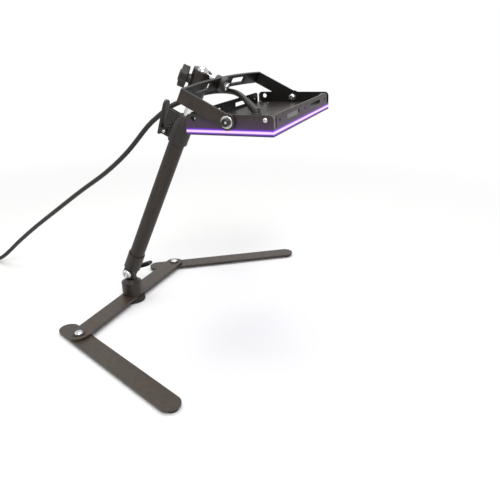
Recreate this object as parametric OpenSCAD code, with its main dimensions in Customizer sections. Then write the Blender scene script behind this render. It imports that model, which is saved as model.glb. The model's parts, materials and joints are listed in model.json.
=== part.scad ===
// Screen printing exposure unit: an ultraviolet lamp on a folding stand
// Origin on the surface it stands on, under the post; +Z up, cross bar along Y, lamp towards +X

/* [Base] */
// Distance between the two leg rivets
bar_span = 264; // [230:2:300]
// Width of the steel strips of the base
strip_w = 28; // [24:1:30]
// Thickness of the steel strips of the base
strip_t = 3; // [2:0.5:4]
// Leg from its rivet to the centre of its round front end
leg_reach = 206; // [180:2:220]
// Leg from its rivet back to its tip
leg_tail = 43; // [36:1:46]
// Angle of the near leg out from straight ahead
near_leg_angle = 23; // [10:1:40]
// Angle of the far leg out from straight ahead
far_leg_angle = 35; // [10:1:40]
// Height of the rubber feet
foot_h = 4; // [3:0.5:6]
// Diameter of the rubber feet under the legs
foot_d = 18; // [14:1:18]
// Diameter of the foot under the post
centre_foot_d = 38; // [32:1:44]
// Thickness of the nylon washers between leg and bar
washer_t = 1; // [0.5:0.25:2]
// Diameter of the rivet and screw shanks
shank_d = 6; // [5:0.5:6]
// Diameter of the domed rivet heads
rivet_head_d = 12; // [10:0.5:14]

/* [Post] */
// Diameter of the socket on the bar
socket_d = 31; // [28:1:34]
// Height of the socket
socket_h = 21; // [18:1:26]
// Tilt hinge above the socket
hinge_rise = 16; // [14:0.5:19]
// Thickness of the hinge tongue
tongue_t = 8; // [7:0.5:10]
// Radius of the rounded hinge eyes
eye_r = 8; // [7:0.5:8.5]
// Thickness of each hinge cheek
cheek_t = 4; // [3.5:0.5:5]
// Lean of the pole from upright
pole_lean = 25.7; // [15:0.1:35]
// Outer diameter of the lower tube
tube_d = 22; // [20:0.5:24]
// Wall of the lower tube
tube_wall = 1.5; // [1:0.25:2]
// Wall of the cup that holds the tube
cup_wall = 1.5; // [1.5:0.25:3]
// Height of the cup that holds the tube
cup_h = 23; // [20:1:34]
// Lower tube from the tilt hinge to its top
tube_top = 242; // [220:2:260]
// Diameter of the sliding rod
rod_d = 10; // [8:0.5:11]
// Visible rod between the lock collar and the ball head
rod_show = 27; // [24:1:40]
// Rod inside the tube below its top
rod_inside = 106; // [80:2:140]

/* [Lock collar] */
// Outer diameter of the lock collar
lock_d = 27; // [26.5:0.5:30]
// Lock collar overlap on the tube
lock_grip = 10; // [8:1:14]
// Lock collar height above the tube
lock_rise = 28; // [26:1:34]
// Reach of the lock ear from the pole axis
ear_reach = 26; // [25:1:30]
// Thickness of the lock ear
ear_t = 8; // [6:0.5:10]
// Length of the lock lever
lever_len = 40; // [32:1:44]
// Outward lean of the lock lever
lever_lean = 8; // [6:1:18]

/* [Ball head] */
// Diameter of the ball head body
head_d = 24; // [22:1:28]
// Height of the ball head body
head_h = 37; // [35:1:42]
// Diameter of the ball
ball_d = 16; // [14:0.5:17]
// Depth of the ball centre below the rim
ball_depth = 3; // [2.5:0.25:4]
// Diameter of the ball's stem
stem_d = 6; // [5:0.5:6]
// Diameter of the star knob
star_d = 29; // [26:1:30]
// Thickness of the star knob
star_t = 9.5; // [7:0.5:11]
// Turn of the star knob's screw round the head
star_turn = 23; // [0:1:35]

/* [Bracket] */
// Slope of the bracket arms
bracket_slope = 25.5; // [20:0.1:32]
// Ball centre to the middle of the bracket's web
stem_reach = 27.5; // [25:0.5:31]
// Outward bow of the web at its middle
web_bow = 6; // [3:0.5:8]
// Web corner to the lamp's pivot
arm_reach = 60; // [59:0.5:72]
// Width of the bracket strip
bracket_w = 15.5; // [14:0.5:18]
// Thickness of the bracket strip
bracket_t = 3; // [2:0.25:4]
// Gap between an arm and the lamp
arm_gap = 1; // [0.75:0.25:2]
// Radius of the arm's round end
arm_eye_r = 9; // [8:0.5:12]
// Diameter of the knurled clamp nut
clamp_nut_d = 20; // [16:1:22]

/* [Lamp] */
// Width of the lamp
lamp_w = 102; // [96:1:104]
// Length of the lamp
lamp_l = 220; // [190:2:240]
// Upward tilt of the lamp's outer edge at rest
lamp_pitch = 1.2; // [0:0.2:6]
// Height of the upturned flanges
flange_h = 15; // [14:0.5:20]
// Sheet thickness of the tray
sheet_t = 1.5; // [1:0.25:2]
// Height of the clear cover's lit edge
cover_h = 5; // [5:0.5:7]
// Thickness of the clear window
window_t = 2; // [1.5:0.25:2.25]
// Height of the bezel frame
bezel_h = 2.5; // [2.5:0.25:4]
// Width of the bezel's and the cover's rim
rim_w = 7; // [6.5:0.5:9]
// Rows of lamp chips across the width
chip_rows = 6; // [4:1:7]
// Rows of lamp chips along the length
chip_cols = 14; // [8:1:16]

/* [Cord] */
// Diameter of the power cord
cord_d = 7; // [6.5:0.5:7.5]
// Diameter across the middle of the coil's turns
coil_mid_d = 77; // [72:1:84]
// Length of the plug's body
plug_l = 40; // [34:1:44]

/* [Hidden] */

fit = 0.05;
clear = 0.3;
eps = 0.01;
fine = 64;

black = "#1c1b1a";
dark = "#3a3735";
steel = "#c9c7c2";
grey = "#8b8a86";
violet = "#8a4fe0";

strip_r = strip_w / 2;
shank_r = shank_d / 2;
bore_r = shank_r + fit;
leg_z = foot_h;
bar_z = leg_z + strip_t + washer_t;
bar_top = bar_z + strip_t;
tail_pad_x = -(leg_tail - foot_d / 2 - 1);
front_pad_x = leg_reach + strip_r - foot_d / 2 - 1;
rivet_washer_t = 0.8;
rivet_washer_d = rivet_head_d + 5;
rivet_dome_h = 3.2;
rivet_foot_h = min(1.5, foot_h - 1);
rivet_foot_r = min(5.5, -tail_pad_x - foot_d / 2 - clear);
screw_head_h = 4;
screw_head_r = 6;
screw_up = socket_h - 5;
shoulder_h = 5;

hinge_z = bar_top + socket_h + hinge_rise;
cheek_in = tongue_t / 2 + clear;
cheek_out = cheek_in + cheek_t;
boss_h = 1.5;
cup_z = eye_r + 2;
cup_floor = 4;
tube_z = cup_z + cup_floor;
cup_r = tube_d / 2 + cup_wall;
tube_in_r = tube_d / 2 - tube_wall;
bolt_head_d = 15;
bolt_head_h = 4;
knob_hub_l = 9;
knob_hub_r = 6.5;
knob_bar_l = 52;
knob_bar_w = 6;
knob_bar_t = 10;
knob_turn = 47.5;
knob_y = cheek_out + 0.2;

bush_flange = 2;
bush_l = 16;
lock_z = tube_top - lock_grip;
lock_top = tube_top + lock_rise;
lock_straight = lock_top - 11;
lock_slot = 2.5;
ear_in = lock_d / 2 - 4;
ear_back = ear_reach - 1;
ear_low = rod_d / 2 + 1;
ear_h = 9;
ear_top = lock_top - 1.5;
pin_r = 2;
pin_x = -(ear_reach - 5);
pin_z = lock_z + ear_reach + pin_x + 0.5;
lever_w = ear_t + 5;
lever_t = 3.5;
lever_cheek = 2;
lever_tail = 6;
clamp_x = -(ear_in + 6.5);
clamp_zs = [lock_z + 14, lock_z + 19.5];
clamp_r = 1.5;
clamp_head_r = 2.4;
clamp_head_t = 1.8;
lever_hub = 4;
lever_rim = 3;
lever_recess = 1.2;

rod_r = rod_d / 2;
rod_wall = 1.2;
rod_fit = 0.08;
rod_stop_h = 6;
rod_plug_l = 10;
rod_low = tube_top - rod_inside;
head_z = lock_top + rod_show;
head_top = head_z + head_h;
ball_z = head_top - ball_depth;
ball_r = ball_d / 2;
rod_seat = 12;
pad_z = head_z + rod_seat + 2;
pad_r = ball_r - 1;
star_z = head_z + head_h / 2 + 2.5;
star_in = head_d / 2 + 3.5;
star_screw_in = pad_r + clear;
star_lobes = 6;
lobe_r = 4;
star_boss_r = 6;
notch_w = stem_d + 1;

web_t = bracket_t;
stem_top = stem_reach + web_t / 2;
platform_r = ball_r;
platform_t = 5;
clamp_nut_t = 7;
end_nut_t = 3;
pivot_x = stem_reach + web_bow + arm_reach;
arm_in = lamp_l / 2 + arm_gap;
arm_out = arm_in + bracket_t;
bow_r = (pow(arm_out, 2) + pow(web_bow, 2)) / (2 * web_bow);
nut_seat = stem_top + pow(clamp_nut_d / 2, 2) / (2 * bow_r) + fit;
stem_end = nut_seat + clamp_nut_t + end_nut_t + clear;
web_slot_y = 50;
web_slot_l = 38;
web_slot_h = 8;
web_slot_r = 2;
pivot_washer_r = 6.8;
pivot_washer_t = 1.2;
pivot_head_r = 4.5;
pivot_head_t = 4.5;
pivot_hex_r = 2.2;
nut_r = 5.2;
nut_t = 5;

ball_x = ball_z * sin(pole_lean);
ball_h = hinge_z + ball_z * cos(pole_lean);
lamp_x = ball_x + pivot_x * cos(bracket_slope);
lamp_z = ball_h - pivot_x * sin(bracket_slope);
sheet_z = -flange_h / 2;
side_l = lamp_l - 20;
tab_x = lamp_w / 2 - 9;
tab_z = sheet_z + flange_h * 0.65;
flange_slot_l = 44;
flange_slot_h = 5;
flange_slot_y = 44;
flange_slot_r = 1.5;
flange_corner = 5;
flange_screw_r = 2;
empty_hole_r = 2.9;
flange_head_d = 5.6;
flange_head_h = 2;
flange_nut_r = 3.8;
flange_nut_t = 2.6;
end_hole_r = 2.2;
small_r = 1.5;
bezel_head_r = 2.6;
bezel_head_h = 1.6;
flange_hole_y = side_l / 2 - 10;
board_t = 1.2;
chip_s = 5;
chip_t = 1;
board_head_d = 5.5;
board_head_h = 1.8;
board_screw_l = sheet_t + board_t + 1.2;
gland_x = -7;
gland_y = -12;
gland_lean = 61;
gland_turn = 33;
gland_r = 8;
gland_base = 3;
gland_l = 22;
sleeve_r = cord_d / 2 + 2.6;
sleeve_end_r = cord_d / 2 + 0.9;
cord_r = cord_d / 2;
board_screw_x = 30;
board_screw_y = lamp_l / 2 - 22;

// Route of the cord in world millimetres, from the gland to the coil
cord_route = [
    [204.4, -1.5, 313.1], [197.4, 3, 317], [189.5, 7.8, 320.4], [180.5, 12.5, 322.2],
    [171, 16.5, 322.7], [161, 20, 322.5], [149, 23, 321.5], [136, 24.5, 319.5], [122, 25, 316],
    [108, 25, 311], [94, 25, 305.5], [80, 25, 299.5], [60, 25, 286.5], [38, 25, 269],
    [0, 25, 231], [-45, 27, 196], [-100, 30, 161], [-160, 33, 121], [-215, 36, 84],
    [-258, 38, 53], [-286, 39, 31], [-306, 39.5, 16], [-322, 39.5, 7.5], [-340, 39.5, 4],
    [-366, 39.5, 4], [-390, 39.5, 5]];
// Route of the cord's tail, from the coil's last turn down beside it to the plug
tail_route = [
    [-355.5, 8.5, 12], [-357, 20, 12.6], [-361.5, 32, 12.8], [-371.5, 40.5, 12.6],
    [-383, 45.2, 12], [-396, 47, 10.8], [-409, 45.2, 8.8], [-421, 40.3, 6.8], [-431, 32.4, 5.2],
    [-439, 22, 4.3], [-444, 10, 4], [-445.5, -2.5, 4], [-445.5, -14, 5], [-445.5, -25, 7],
    [-445.5, -32, 7.5], [-445.5, -38, 7.5]];
cord_steps = 3;
cord_sides = 10;
coil_x = -396;
coil_y = -2.5;
coil_turn_w = 2 * cord_d;
tie_w = 6;
tie_t = 1.2;
coil_z = tie_t + clear + coil_turn_w / 2;
plug_w = 27;
plug_h = 15;
plug_corner = 5;
pin_len = 19;
pin_root = 8;
pin_pitch = 19;
plug_pin_r = 2.4;
plug_x = -445.5;
plug_y = -38;

// Shared shapes

module strip_2d(x0, x1, w) {
    translate([x0, -w / 2]) square([x1 - x0, w]);
    for (x = [x0, x1]) translate([x, 0]) circle(d = w, $fn = fine);
}

module slot_2d(l, w, r) {
    translate([-l / 2, -w / 2 + r]) square([l, w - 2 * r]);
    translate([-l / 2 + r, -w / 2]) square([l - 2 * r, w]);
    for (x = [-1, 1], y = [-1, 1])
        translate([x * (l / 2 - r), y * (w / 2 - r)]) circle(r = r, $fn = 32);
}

module dome(d, h) {
    ball = (pow(d / 2, 2) + h * h) / (2 * h);
    rotate_extrude($fn = fine) intersection() {
        translate([0, h - ball]) circle(r = ball, $fn = 96);
        square([d / 2, h]);
    }
}

// A cylinder along Y from y0 to y1
module bar_y(r, y0, y1, sides = fine) {
    translate([0, y0, 0]) rotate([-90, 0, 0]) cylinder(r = r, h = y1 - y0, $fn = sides);
}

// A cylinder along X from x0 to x1
module bar_x(r, x0, x1, sides = fine) {
    translate([x0, 0, 0]) rotate([0, 90, 0]) cylinder(r = r, h = x1 - x0, $fn = sides);
}

module ring(r_out, r_in, h) {
    difference() {
        cylinder(r = r_out, h = h, $fn = fine);
        translate([0, 0, -1]) cylinder(r = r_in, h = h + 2, $fn = fine);
    }
}

// Frames: along the pole from the tilt hinge, along the ball's stem, and at the lamp's pivot
module on_pole() translate([0, 0, hinge_z]) rotate([0, pole_lean, 0]) children();
module on_stem() translate([ball_x, 0, ball_h]) rotate([0, bracket_slope, 0]) children();
module on_lamp() translate([lamp_x, 0, lamp_z]) rotate([0, -lamp_pitch, 0]) children();
module on_star() translate([0, 0, star_z]) rotate([0, 0, star_turn]) children();
module at_rivets() for (y = [-1, 1]) translate([0, y * bar_span / 2, 0]) children();
module on_leg(side, angle) translate([0, side * bar_span / 2, 0]) rotate([0, 0, side * angle]) children();

// Base

module cross_bar() {
    color(dark) translate([0, 0, bar_z]) difference() {
        linear_extrude(strip_t) rotate(90) strip_2d(-bar_span / 2, bar_span / 2, strip_w);
        at_rivets() translate([0, 0, -1]) cylinder(r = bore_r, h = strip_t + 2, $fn = fine);
        translate([0, 0, -1]) cylinder(r = bore_r, h = strip_t + 2, $fn = fine);
    }
}

module leg(side, angle) {
    color(dark) on_leg(side, angle) translate([0, 0, leg_z]) difference() {
        linear_extrude(strip_t) strip_2d(strip_r - leg_tail, leg_reach, strip_w);
        translate([0, 0, -1]) cylinder(r = bore_r, h = strip_t + 2, $fn = fine);
    }
}

module leg_near() leg(-1, near_leg_angle);
module leg_far() leg(1, far_leg_angle);

module foot_pads(side, angle) {
    color(black) on_leg(side, angle) for (x = [tail_pad_x, front_pad_x])
        translate([x, 0, 0]) cylinder(d = foot_d, h = foot_h, $fn = fine);
}

module foot_pads_near() foot_pads(-1, near_leg_angle);
module foot_pads_far() foot_pads(1, far_leg_angle);

module leg_washers() {
    color("white") at_rivets() translate([0, 0, leg_z + strip_t]) ring(strip_r - 2, bore_r, washer_t);
}

module rivet_washers() {
    color(black) at_rivets() translate([0, 0, bar_top]) ring(rivet_washer_d / 2, bore_r, rivet_washer_t);
}

module leg_rivets() {
    color(steel) at_rivets() {
        translate([0, 0, leg_z - rivet_foot_h]) cylinder(r = rivet_foot_r, h = rivet_foot_h, $fn = fine);
        translate([0, 0, leg_z - eps])
            cylinder(r = shank_r, h = bar_top + rivet_washer_t - leg_z + 2 * eps, $fn = fine);
        translate([0, 0, bar_top + rivet_washer_t]) dome(rivet_head_d, rivet_dome_h);
    }
}

module centre_foot() {
    color(black) difference() {
        cylinder(d = centre_foot_d, h = bar_z, $fn = fine);
        translate([0, 0, bar_z - screw_head_h - clear])
            cylinder(r = screw_head_r + clear, h = screw_head_h + 1, $fn = fine);
    }
}

module post_screw() {
    color(steel) {
        translate([0, 0, bar_z - screw_head_h]) cylinder(r = screw_head_r, h = screw_head_h, $fn = fine);
        translate([0, 0, bar_z - eps]) cylinder(r = shank_r, h = strip_t + screw_up, $fn = fine);
    }
}

// Post and tilt hinge

module post_socket() {
    color(black) difference() {
        union() {
            translate([0, 0, bar_top]) cylinder(d = socket_d, h = socket_h, $fn = fine);
            translate([0, 0, bar_top + socket_h - eps])
                cylinder(r1 = socket_d / 2 - 1, r2 = eye_r + 1, h = shoulder_h, $fn = fine);
            translate([-eye_r, -tongue_t / 2, bar_top + socket_h - eps])
                cube([2 * eye_r, tongue_t, hinge_rise + eps]);
            translate([0, 0, hinge_z]) bar_y(eye_r, -tongue_t / 2, tongue_t / 2);
        }
        translate([0, 0, hinge_z]) bar_y(bore_r, -tongue_t, tongue_t);
        translate([0, 0, bar_top - 1]) cylinder(r = bore_r, h = screw_up + 2, $fn = fine);
    }
}

module tube_collar() {
    color(black) on_pole() difference() {
        union() {
            for (s = [-1, 1]) {
                translate([-eye_r, s > 0 ? cheek_in : -cheek_out, 0])
                    cube([2 * eye_r, cheek_t, cup_z + eps]);
                bar_y(eye_r, s > 0 ? cheek_in : -cheek_out, s > 0 ? cheek_out : -cheek_in);
            }
            bar_y(eye_r, -cheek_out - boss_h, -cheek_out + eps);
            translate([0, 0, cup_z]) cylinder(r = cup_r, h = cup_floor + cup_h, $fn = fine);
        }
        bar_y(bore_r, -cheek_out - boss_h - 1, cheek_out + 1);
        translate([0, 0, tube_z]) cylinder(r = tube_d / 2 + fit, h = cup_h + 1, $fn = fine);
    }
}

module hinge_bolt() {
    color(steel) on_pole() {
        bar_y(shank_r, -cheek_out - boss_h - eps, knob_y + knob_hub_l + 2);
        translate([0, -cheek_out - boss_h, 0]) rotate([90, 0, 0]) dome(bolt_head_d, bolt_head_h);
    }
}

module wing_knob() {
    color(black) on_pole() difference() {
        union() {
            bar_y(knob_hub_r, knob_y, knob_y + knob_hub_l + eps);
            translate([0, knob_y + knob_hub_l + knob_bar_t, 0]) rotate([90, -knob_turn, 0])
                linear_extrude(knob_bar_t) slot_2d(knob_bar_l, knob_bar_w, knob_bar_w / 2 - 0.2);
        }
        bar_y(bore_r, knob_y - 1, knob_y + knob_hub_l + 3);
    }
}

// Telescopic pole

module lower_tube() {
    color(dark) on_pole() translate([0, 0, tube_z]) ring(tube_d / 2, tube_in_r, tube_top - tube_z);
}

module tube_bush() {
    color(black) on_pole() {
        translate([0, 0, tube_top - bush_l]) ring(tube_in_r - fit, rod_r + fit, bush_l + eps);
        translate([0, 0, tube_top]) ring(tube_d / 2, rod_r + fit, bush_flange);
    }
}

module lock_collar() {
    color(black) on_pole() difference() {
        union() {
            translate([0, 0, lock_z]) cylinder(d = lock_d, h = lock_straight - lock_z, $fn = fine);
            translate([0, 0, lock_straight])
                cylinder(r1 = lock_d / 2, r2 = rod_r + 4, h = lock_top - lock_straight, $fn = fine);
            translate([0, ear_t / 2, 0]) rotate([90, 0, 0]) linear_extrude(ear_t) {
                translate([pin_x, pin_z]) circle(r = ear_reach + pin_x, $fn = fine);
                translate([pin_x, pin_z - ear_reach - pin_x]) square([-pin_x - ear_in, ear_h]);
                translate([-ear_back, pin_z]) square([ear_back - ear_low, ear_top - pin_z]);
            }
        }
        translate([0, 0, lock_z - 1])
            cylinder(r = tube_d / 2 + fit, h = lock_grip + bush_flange + 1, $fn = fine);
        translate([0, 0, lock_z]) cylinder(r = rod_r + rod_fit, h = lock_rise + lock_grip + 1, $fn = fine);
        translate([-ear_reach - 1, -lock_slot / 2, tube_top + bush_flange + 2])
            cube([ear_reach + 1, lock_slot, lock_rise]);
        translate([pin_x, 0, pin_z]) bar_y(pin_r + fit, -ear_t, ear_t);
        for (z = clamp_zs) translate([clamp_x, 0, z]) bar_y(clamp_r + fit, -ear_t, ear_t);
    }
}

module clamp_screws() {
    color(grey) on_pole() for (z = clamp_zs) translate([clamp_x, 0, z]) {
        bar_y(clamp_r, -ear_t / 2 - eps, ear_t / 2 + eps, 32);
        for (s = [0, 1]) mirror([0, s, 0]) bar_y(clamp_head_r, ear_t / 2, ear_t / 2 + clamp_head_t, 6);
    }
}

module lever_pin() {
    color(steel) on_pole() translate([pin_x, 0, pin_z]) bar_y(pin_r, -lever_w / 2 - 0.8, lever_w / 2 + 0.8);
}

module lock_lever() {
    strap_x = -(ear_reach - abs(pin_x)) - clear - lever_t;
    color(grey) on_pole() translate([pin_x, 0, pin_z]) difference() {
        union() {
            rotate([0, -lever_lean, 0]) {
                translate([strap_x, -lever_w / 2, -lever_tail]) cube([lever_t, lever_w, lever_len]);
                translate([strap_x + lever_t, 0, lever_len - lever_tail])
                    rotate([0, -90, 0]) linear_extrude(lever_t) intersection() {
                        circle(d = lever_w, $fn = fine);
                        translate([0, -lever_w]) square(2 * lever_w);
                    }
                for (s = [0, 1]) mirror([0, s, 0])
                    translate([strap_x + eps, lever_w / 2 - lever_cheek, -lever_hub])
                        cube([lever_hub - strap_x, lever_cheek, 2 * lever_hub]);
            }
        }
        bar_y(pin_r + fit, -lever_w, lever_w);
        rotate([0, -lever_lean, 0]) translate([strap_x - eps, -lever_w / 2 + lever_rim, 0])
            cube([lever_recess, lever_w - 2 * lever_rim, lever_len - lever_tail - 2]);
    }
}

module inner_rod() {
    color(steel) on_pole() translate([0, 0, rod_low])
        ring(rod_r, rod_r - rod_wall, head_z + rod_seat - rod_low);
}

module rod_stop() {
    color(black) on_pole() translate([0, 0, rod_low - rod_stop_h]) {
        cylinder(r = tube_in_r - 2 * fit, h = rod_stop_h, $fn = fine);
        cylinder(r = rod_r - rod_wall - fit, h = rod_stop_h + rod_plug_l, $fn = fine);
    }
}

// Ball head

module ball_head_body() {
    color(black) on_pole() difference() {
        union() {
            translate([0, 0, head_z]) cylinder(d = head_d, h = head_h, $fn = fine);
            on_star() bar_x(star_boss_r, -head_d / 2 - 2, -head_d / 2 + 3);
        }
        translate([0, 0, head_z - 1]) cylinder(r = rod_r + fit, h = rod_seat + 1, $fn = fine);
        translate([0, 0, pad_z]) cylinder(r = pad_r + fit, h = ball_z - pad_z, $fn = fine);
        translate([0, 0, ball_z]) sphere(r = ball_r + fit, $fn = 96);
        translate([0, -notch_w / 2, ball_z - notch_w / 2]) cube([head_d, notch_w, head_h]);
        on_star() bar_x(bore_r, -head_d, 0);
    }
}

module ball_pad() {
    color("white") on_pole() difference() {
        translate([0, 0, pad_z]) cylinder(r = pad_r, h = ball_z - pad_z - 3, $fn = fine);
        translate([0, 0, ball_z]) sphere(r = ball_r + fit, $fn = 96);
    }
}

module star_knob() {
    color(black) on_pole() on_star() {
        translate([-star_in - star_t, 0, 0]) rotate([0, 90, 0]) linear_extrude(star_t) {
            circle(d = star_d - 2 * lobe_r + 1, $fn = fine);
            for (i = [0 : star_lobes - 1]) rotate(360 * i / star_lobes)
                translate([star_d / 2 - lobe_r, 0]) circle(r = lobe_r, $fn = 32);
        }
        bar_x(shank_r, -star_in - eps, -star_screw_in);
    }
}

module ball_stem() {
    color(steel) on_stem() {
        sphere(r = ball_r, $fn = 96);
        bar_x(stem_d / 2, 0, stem_end);
    }
}

module stem_platform() {
    color(grey) on_stem() difference() {
        bar_x(platform_r, stem_reach - web_t / 2 - platform_t, stem_reach - web_t / 2);
        bar_x(stem_d / 2 + fit, 0, stem_end);
    }
}

module clamp_nut() {
    color(grey) on_stem() difference() {
        union() {
            bar_x(clamp_nut_d / 2, nut_seat, nut_seat + clamp_nut_t + eps);
            bar_x(nut_r, nut_seat + clamp_nut_t, nut_seat + clamp_nut_t + end_nut_t, 6);
        }
        bar_x(stem_d / 2 + fit, 0, stem_end + 1);
    }
}

// Bracket and pivots

module bracket_web_2d() {
    difference() {
        translate([stem_reach - web_t / 2 + bow_r, 0]) circle(r = bow_r, $fn = 720);
        translate([stem_reach + web_t / 2 + bow_r, 0]) circle(r = bow_r, $fn = 720);
        translate([stem_reach - web_t, arm_out]) square(2 * bow_r);
        translate([stem_reach - web_t, -arm_out - 2 * bow_r]) square(2 * bow_r);
        translate([stem_reach + web_bow + web_t * 2, -bow_r]) square(2 * bow_r);
    }
}

module bracket_arm(side) {
    x0 = stem_reach + web_bow - web_t / 2;
    translate([0, side > 0 ? arm_out : -arm_in, 0]) rotate([90, 0, 0]) linear_extrude(bracket_t) {
        translate([x0, -bracket_w / 2]) square([arm_reach + web_t / 2, bracket_w]);
        translate([pivot_x, 0]) circle(r = arm_eye_r, $fn = fine);
    }
}

module lamp_bracket() {
    color(black) on_stem() difference() {
        union() {
            translate([0, 0, -bracket_w / 2]) linear_extrude(bracket_w) bracket_web_2d();
            for (s = [-1, 1]) bracket_arm(s);
        }
        bar_x(stem_d / 2 + fit, 0, stem_end);
        for (s = [-1, 1]) translate([0, s * web_slot_y, 0]) rotate([90, 0, 90])
            linear_extrude(stem_end + 10) slot_2d(web_slot_l, web_slot_h, web_slot_r);
        translate([pivot_x, 0, 0]) bar_y(bore_r, -arm_out - 1, arm_out + 1);
    }
}

module at_pivots() for (s = [0, 1]) mirror([0, s, 0]) on_lamp() children();

module pivot_bolts() {
    head_y = arm_out + pivot_washer_t;
    color(black) at_pivots() {
        bar_y(shank_r, -head_y - eps, -lamp_l / 2 + sheet_t + nut_t + 1);
        difference() {
            bar_y(pivot_head_r, -head_y - pivot_head_t, -head_y);
            bar_y(pivot_hex_r, -head_y - pivot_head_t - 1, -head_y - 2, 6);
        }
    }
}

module pivot_washers() {
    color(steel) at_pivots() translate([0, -arm_out, 0]) rotate([90, 0, 0])
        ring(pivot_washer_r, bore_r, pivot_washer_t);
}

module friction_washers() {
    color("white") at_pivots() translate([0, -lamp_l / 2, 0]) rotate([90, 0, 0])
        ring(pivot_washer_r, bore_r, arm_gap);
}

module pivot_nuts() {
    color(steel) at_pivots() difference() {
        bar_y(nut_r, -lamp_l / 2 + sheet_t, -lamp_l / 2 + sheet_t + nut_t, 6);
        bar_y(bore_r, -lamp_l / 2, -lamp_l / 2 + 2 * nut_t);
    }
}

// Lamp

module flange_2d(l) {
    r = flange_corner;
    translate([-l / 2, sheet_z]) square([l, flange_h - r]);
    translate([-l / 2 + r, sheet_z]) square([l - 2 * r, flange_h]);
    for (s = [-1, 1]) translate([s * (l / 2 - r), sheet_z + flange_h - r]) circle(r = r, $fn = 32);
}

module lamp_tray() {
    color(grey) on_lamp() difference() {
        union() {
            translate([-lamp_w / 2, -lamp_l / 2, sheet_z]) cube([lamp_w, lamp_l, sheet_t]);
            for (s = [-1, 1]) {
                translate([0, s > 0 ? lamp_l / 2 : -lamp_l / 2 + sheet_t, 0])
                    rotate([90, 0, 0]) linear_extrude(sheet_t) flange_2d(lamp_w);
                translate([s > 0 ? lamp_w / 2 - sheet_t : -lamp_w / 2, 0, 0])
                    rotate([90, 0, 90]) linear_extrude(sheet_t) flange_2d(side_l);
            }
        }
        bar_y(bore_r, -lamp_l, lamp_l);
        translate([tab_x, 0, tab_z]) bar_y(flange_screw_r + fit, -lamp_l, lamp_l);
        translate([-tab_x, 0, tab_z]) bar_y(empty_hole_r, -lamp_l, lamp_l);
        for (s = [-1, 1]) translate([-lamp_w, s * flange_slot_y, 0]) rotate([90, 0, 90])
            linear_extrude(2 * lamp_w) slot_2d(flange_slot_l, flange_slot_h, flange_slot_r);
        for (y = [-flange_hole_y, flange_hole_y]) translate([0, y, 0]) bar_x(end_hole_r, -lamp_w, lamp_w);
        bar_x(small_r, -lamp_w, lamp_w);
        translate([gland_x, gland_y, sheet_z - 1]) cylinder(r = cord_r + 1, h = sheet_t + 2, $fn = fine);
        for (x = [-1, 1], y = [-1, 1]) translate([x * board_screw_x, y * board_screw_y, sheet_z - 1])
            cylinder(r = small_r + fit, h = sheet_t + 2, $fn = 32);
        at_bezel_screws() translate([0, 0, sheet_z - 1])
            cylinder(r = small_r + fit, h = sheet_t + 2, $fn = 32);
    }
}

module at_bezel_screws() for (x = [-1, 1], y = [-1, 1])
    translate([x * (lamp_w - rim_w) / 2, y * (lamp_l - rim_w) / 2, 0]) children();

module flange_screws() {
    color(steel) on_lamp() for (s = [0, 1]) mirror([0, s, 0]) translate([tab_x, 0, tab_z]) {
        bar_y(flange_screw_r, -lamp_l / 2 - eps, -lamp_l / 2 + sheet_t + flange_nut_t + 0.4);
        translate([0, -lamp_l / 2, 0]) rotate([90, 0, 0]) dome(flange_head_d, flange_head_h);
        bar_y(flange_nut_r, -lamp_l / 2 + sheet_t, -lamp_l / 2 + sheet_t + flange_nut_t, 6);
    }
}

module board_screws() {
    color(steel) on_lamp() for (x = [-1, 1], y = [-1, 1])
        translate([x * board_screw_x, y * board_screw_y, sheet_z + sheet_t]) {
            dome(board_head_d, board_head_h);
            translate([0, 0, -board_screw_l]) cylinder(r = small_r, h = board_screw_l + eps, $fn = 32);
        }
}

module led_board() {
    color("white") on_lamp() difference() {
        translate([-lamp_w / 2 + rim_w + clear, -lamp_l / 2 + rim_w + clear, sheet_z - board_t])
            cube([lamp_w - 2 * (rim_w + clear), lamp_l - 2 * (rim_w + clear), board_t]);
        for (x = [-1, 1], y = [-1, 1]) translate([x * board_screw_x, y * board_screw_y, sheet_z - 3])
            cylinder(r = small_r + fit, h = 4, $fn = 32);
    }
}

module led_chips() {
    pitch_x = (lamp_w - 2 * rim_w - 4) / chip_rows;
    pitch_y = (lamp_l - 2 * rim_w - 6) / chip_cols;
    color("khaki") on_lamp() for (i = [0 : chip_rows - 1], j = [0 : chip_cols - 1]) {
        x = (i - (chip_rows - 1) / 2) * pitch_x;
        y = (j - (chip_cols - 1) / 2) * pitch_y;
        if (norm([abs(x) - board_screw_x, abs(y) - board_screw_y]) > chip_s)
            translate([x - chip_s / 2, y - chip_s / 2, sheet_z - board_t - chip_t])
                cube([chip_s, chip_s, chip_t]);
    }
}

module lens_cover() {
    color(violet) on_lamp() difference() {
        translate([-lamp_w / 2, -lamp_l / 2, sheet_z - cover_h]) cube([lamp_w, lamp_l, cover_h]);
        translate([-lamp_w / 2 + rim_w, -lamp_l / 2 + rim_w, sheet_z - cover_h + window_t])
            cube([lamp_w - 2 * rim_w, lamp_l - 2 * rim_w, cover_h]);
        at_bezel_screws() translate([0, 0, sheet_z - cover_h - 1])
            cylinder(r = small_r + fit, h = cover_h + 2, $fn = 32);
    }
}

module bezel_frame() {
    color(black) on_lamp() translate([0, 0, sheet_z - cover_h - bezel_h]) difference() {
        translate([-lamp_w / 2, -lamp_l / 2, 0]) cube([lamp_w, lamp_l, bezel_h]);
        translate([-lamp_w / 2 + rim_w, -lamp_l / 2 + rim_w, -1])
            cube([lamp_w - 2 * rim_w, lamp_l - 2 * rim_w, bezel_h + 2]);
        at_bezel_screws() {
            translate([0, 0, -1]) cylinder(r = small_r + fit, h = bezel_h + 2, $fn = 32);
            translate([0, 0, -1]) cylinder(r = bezel_head_r + 4 * fit, h = bezel_head_h + 1, $fn = 32);
        }
    }
}

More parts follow.
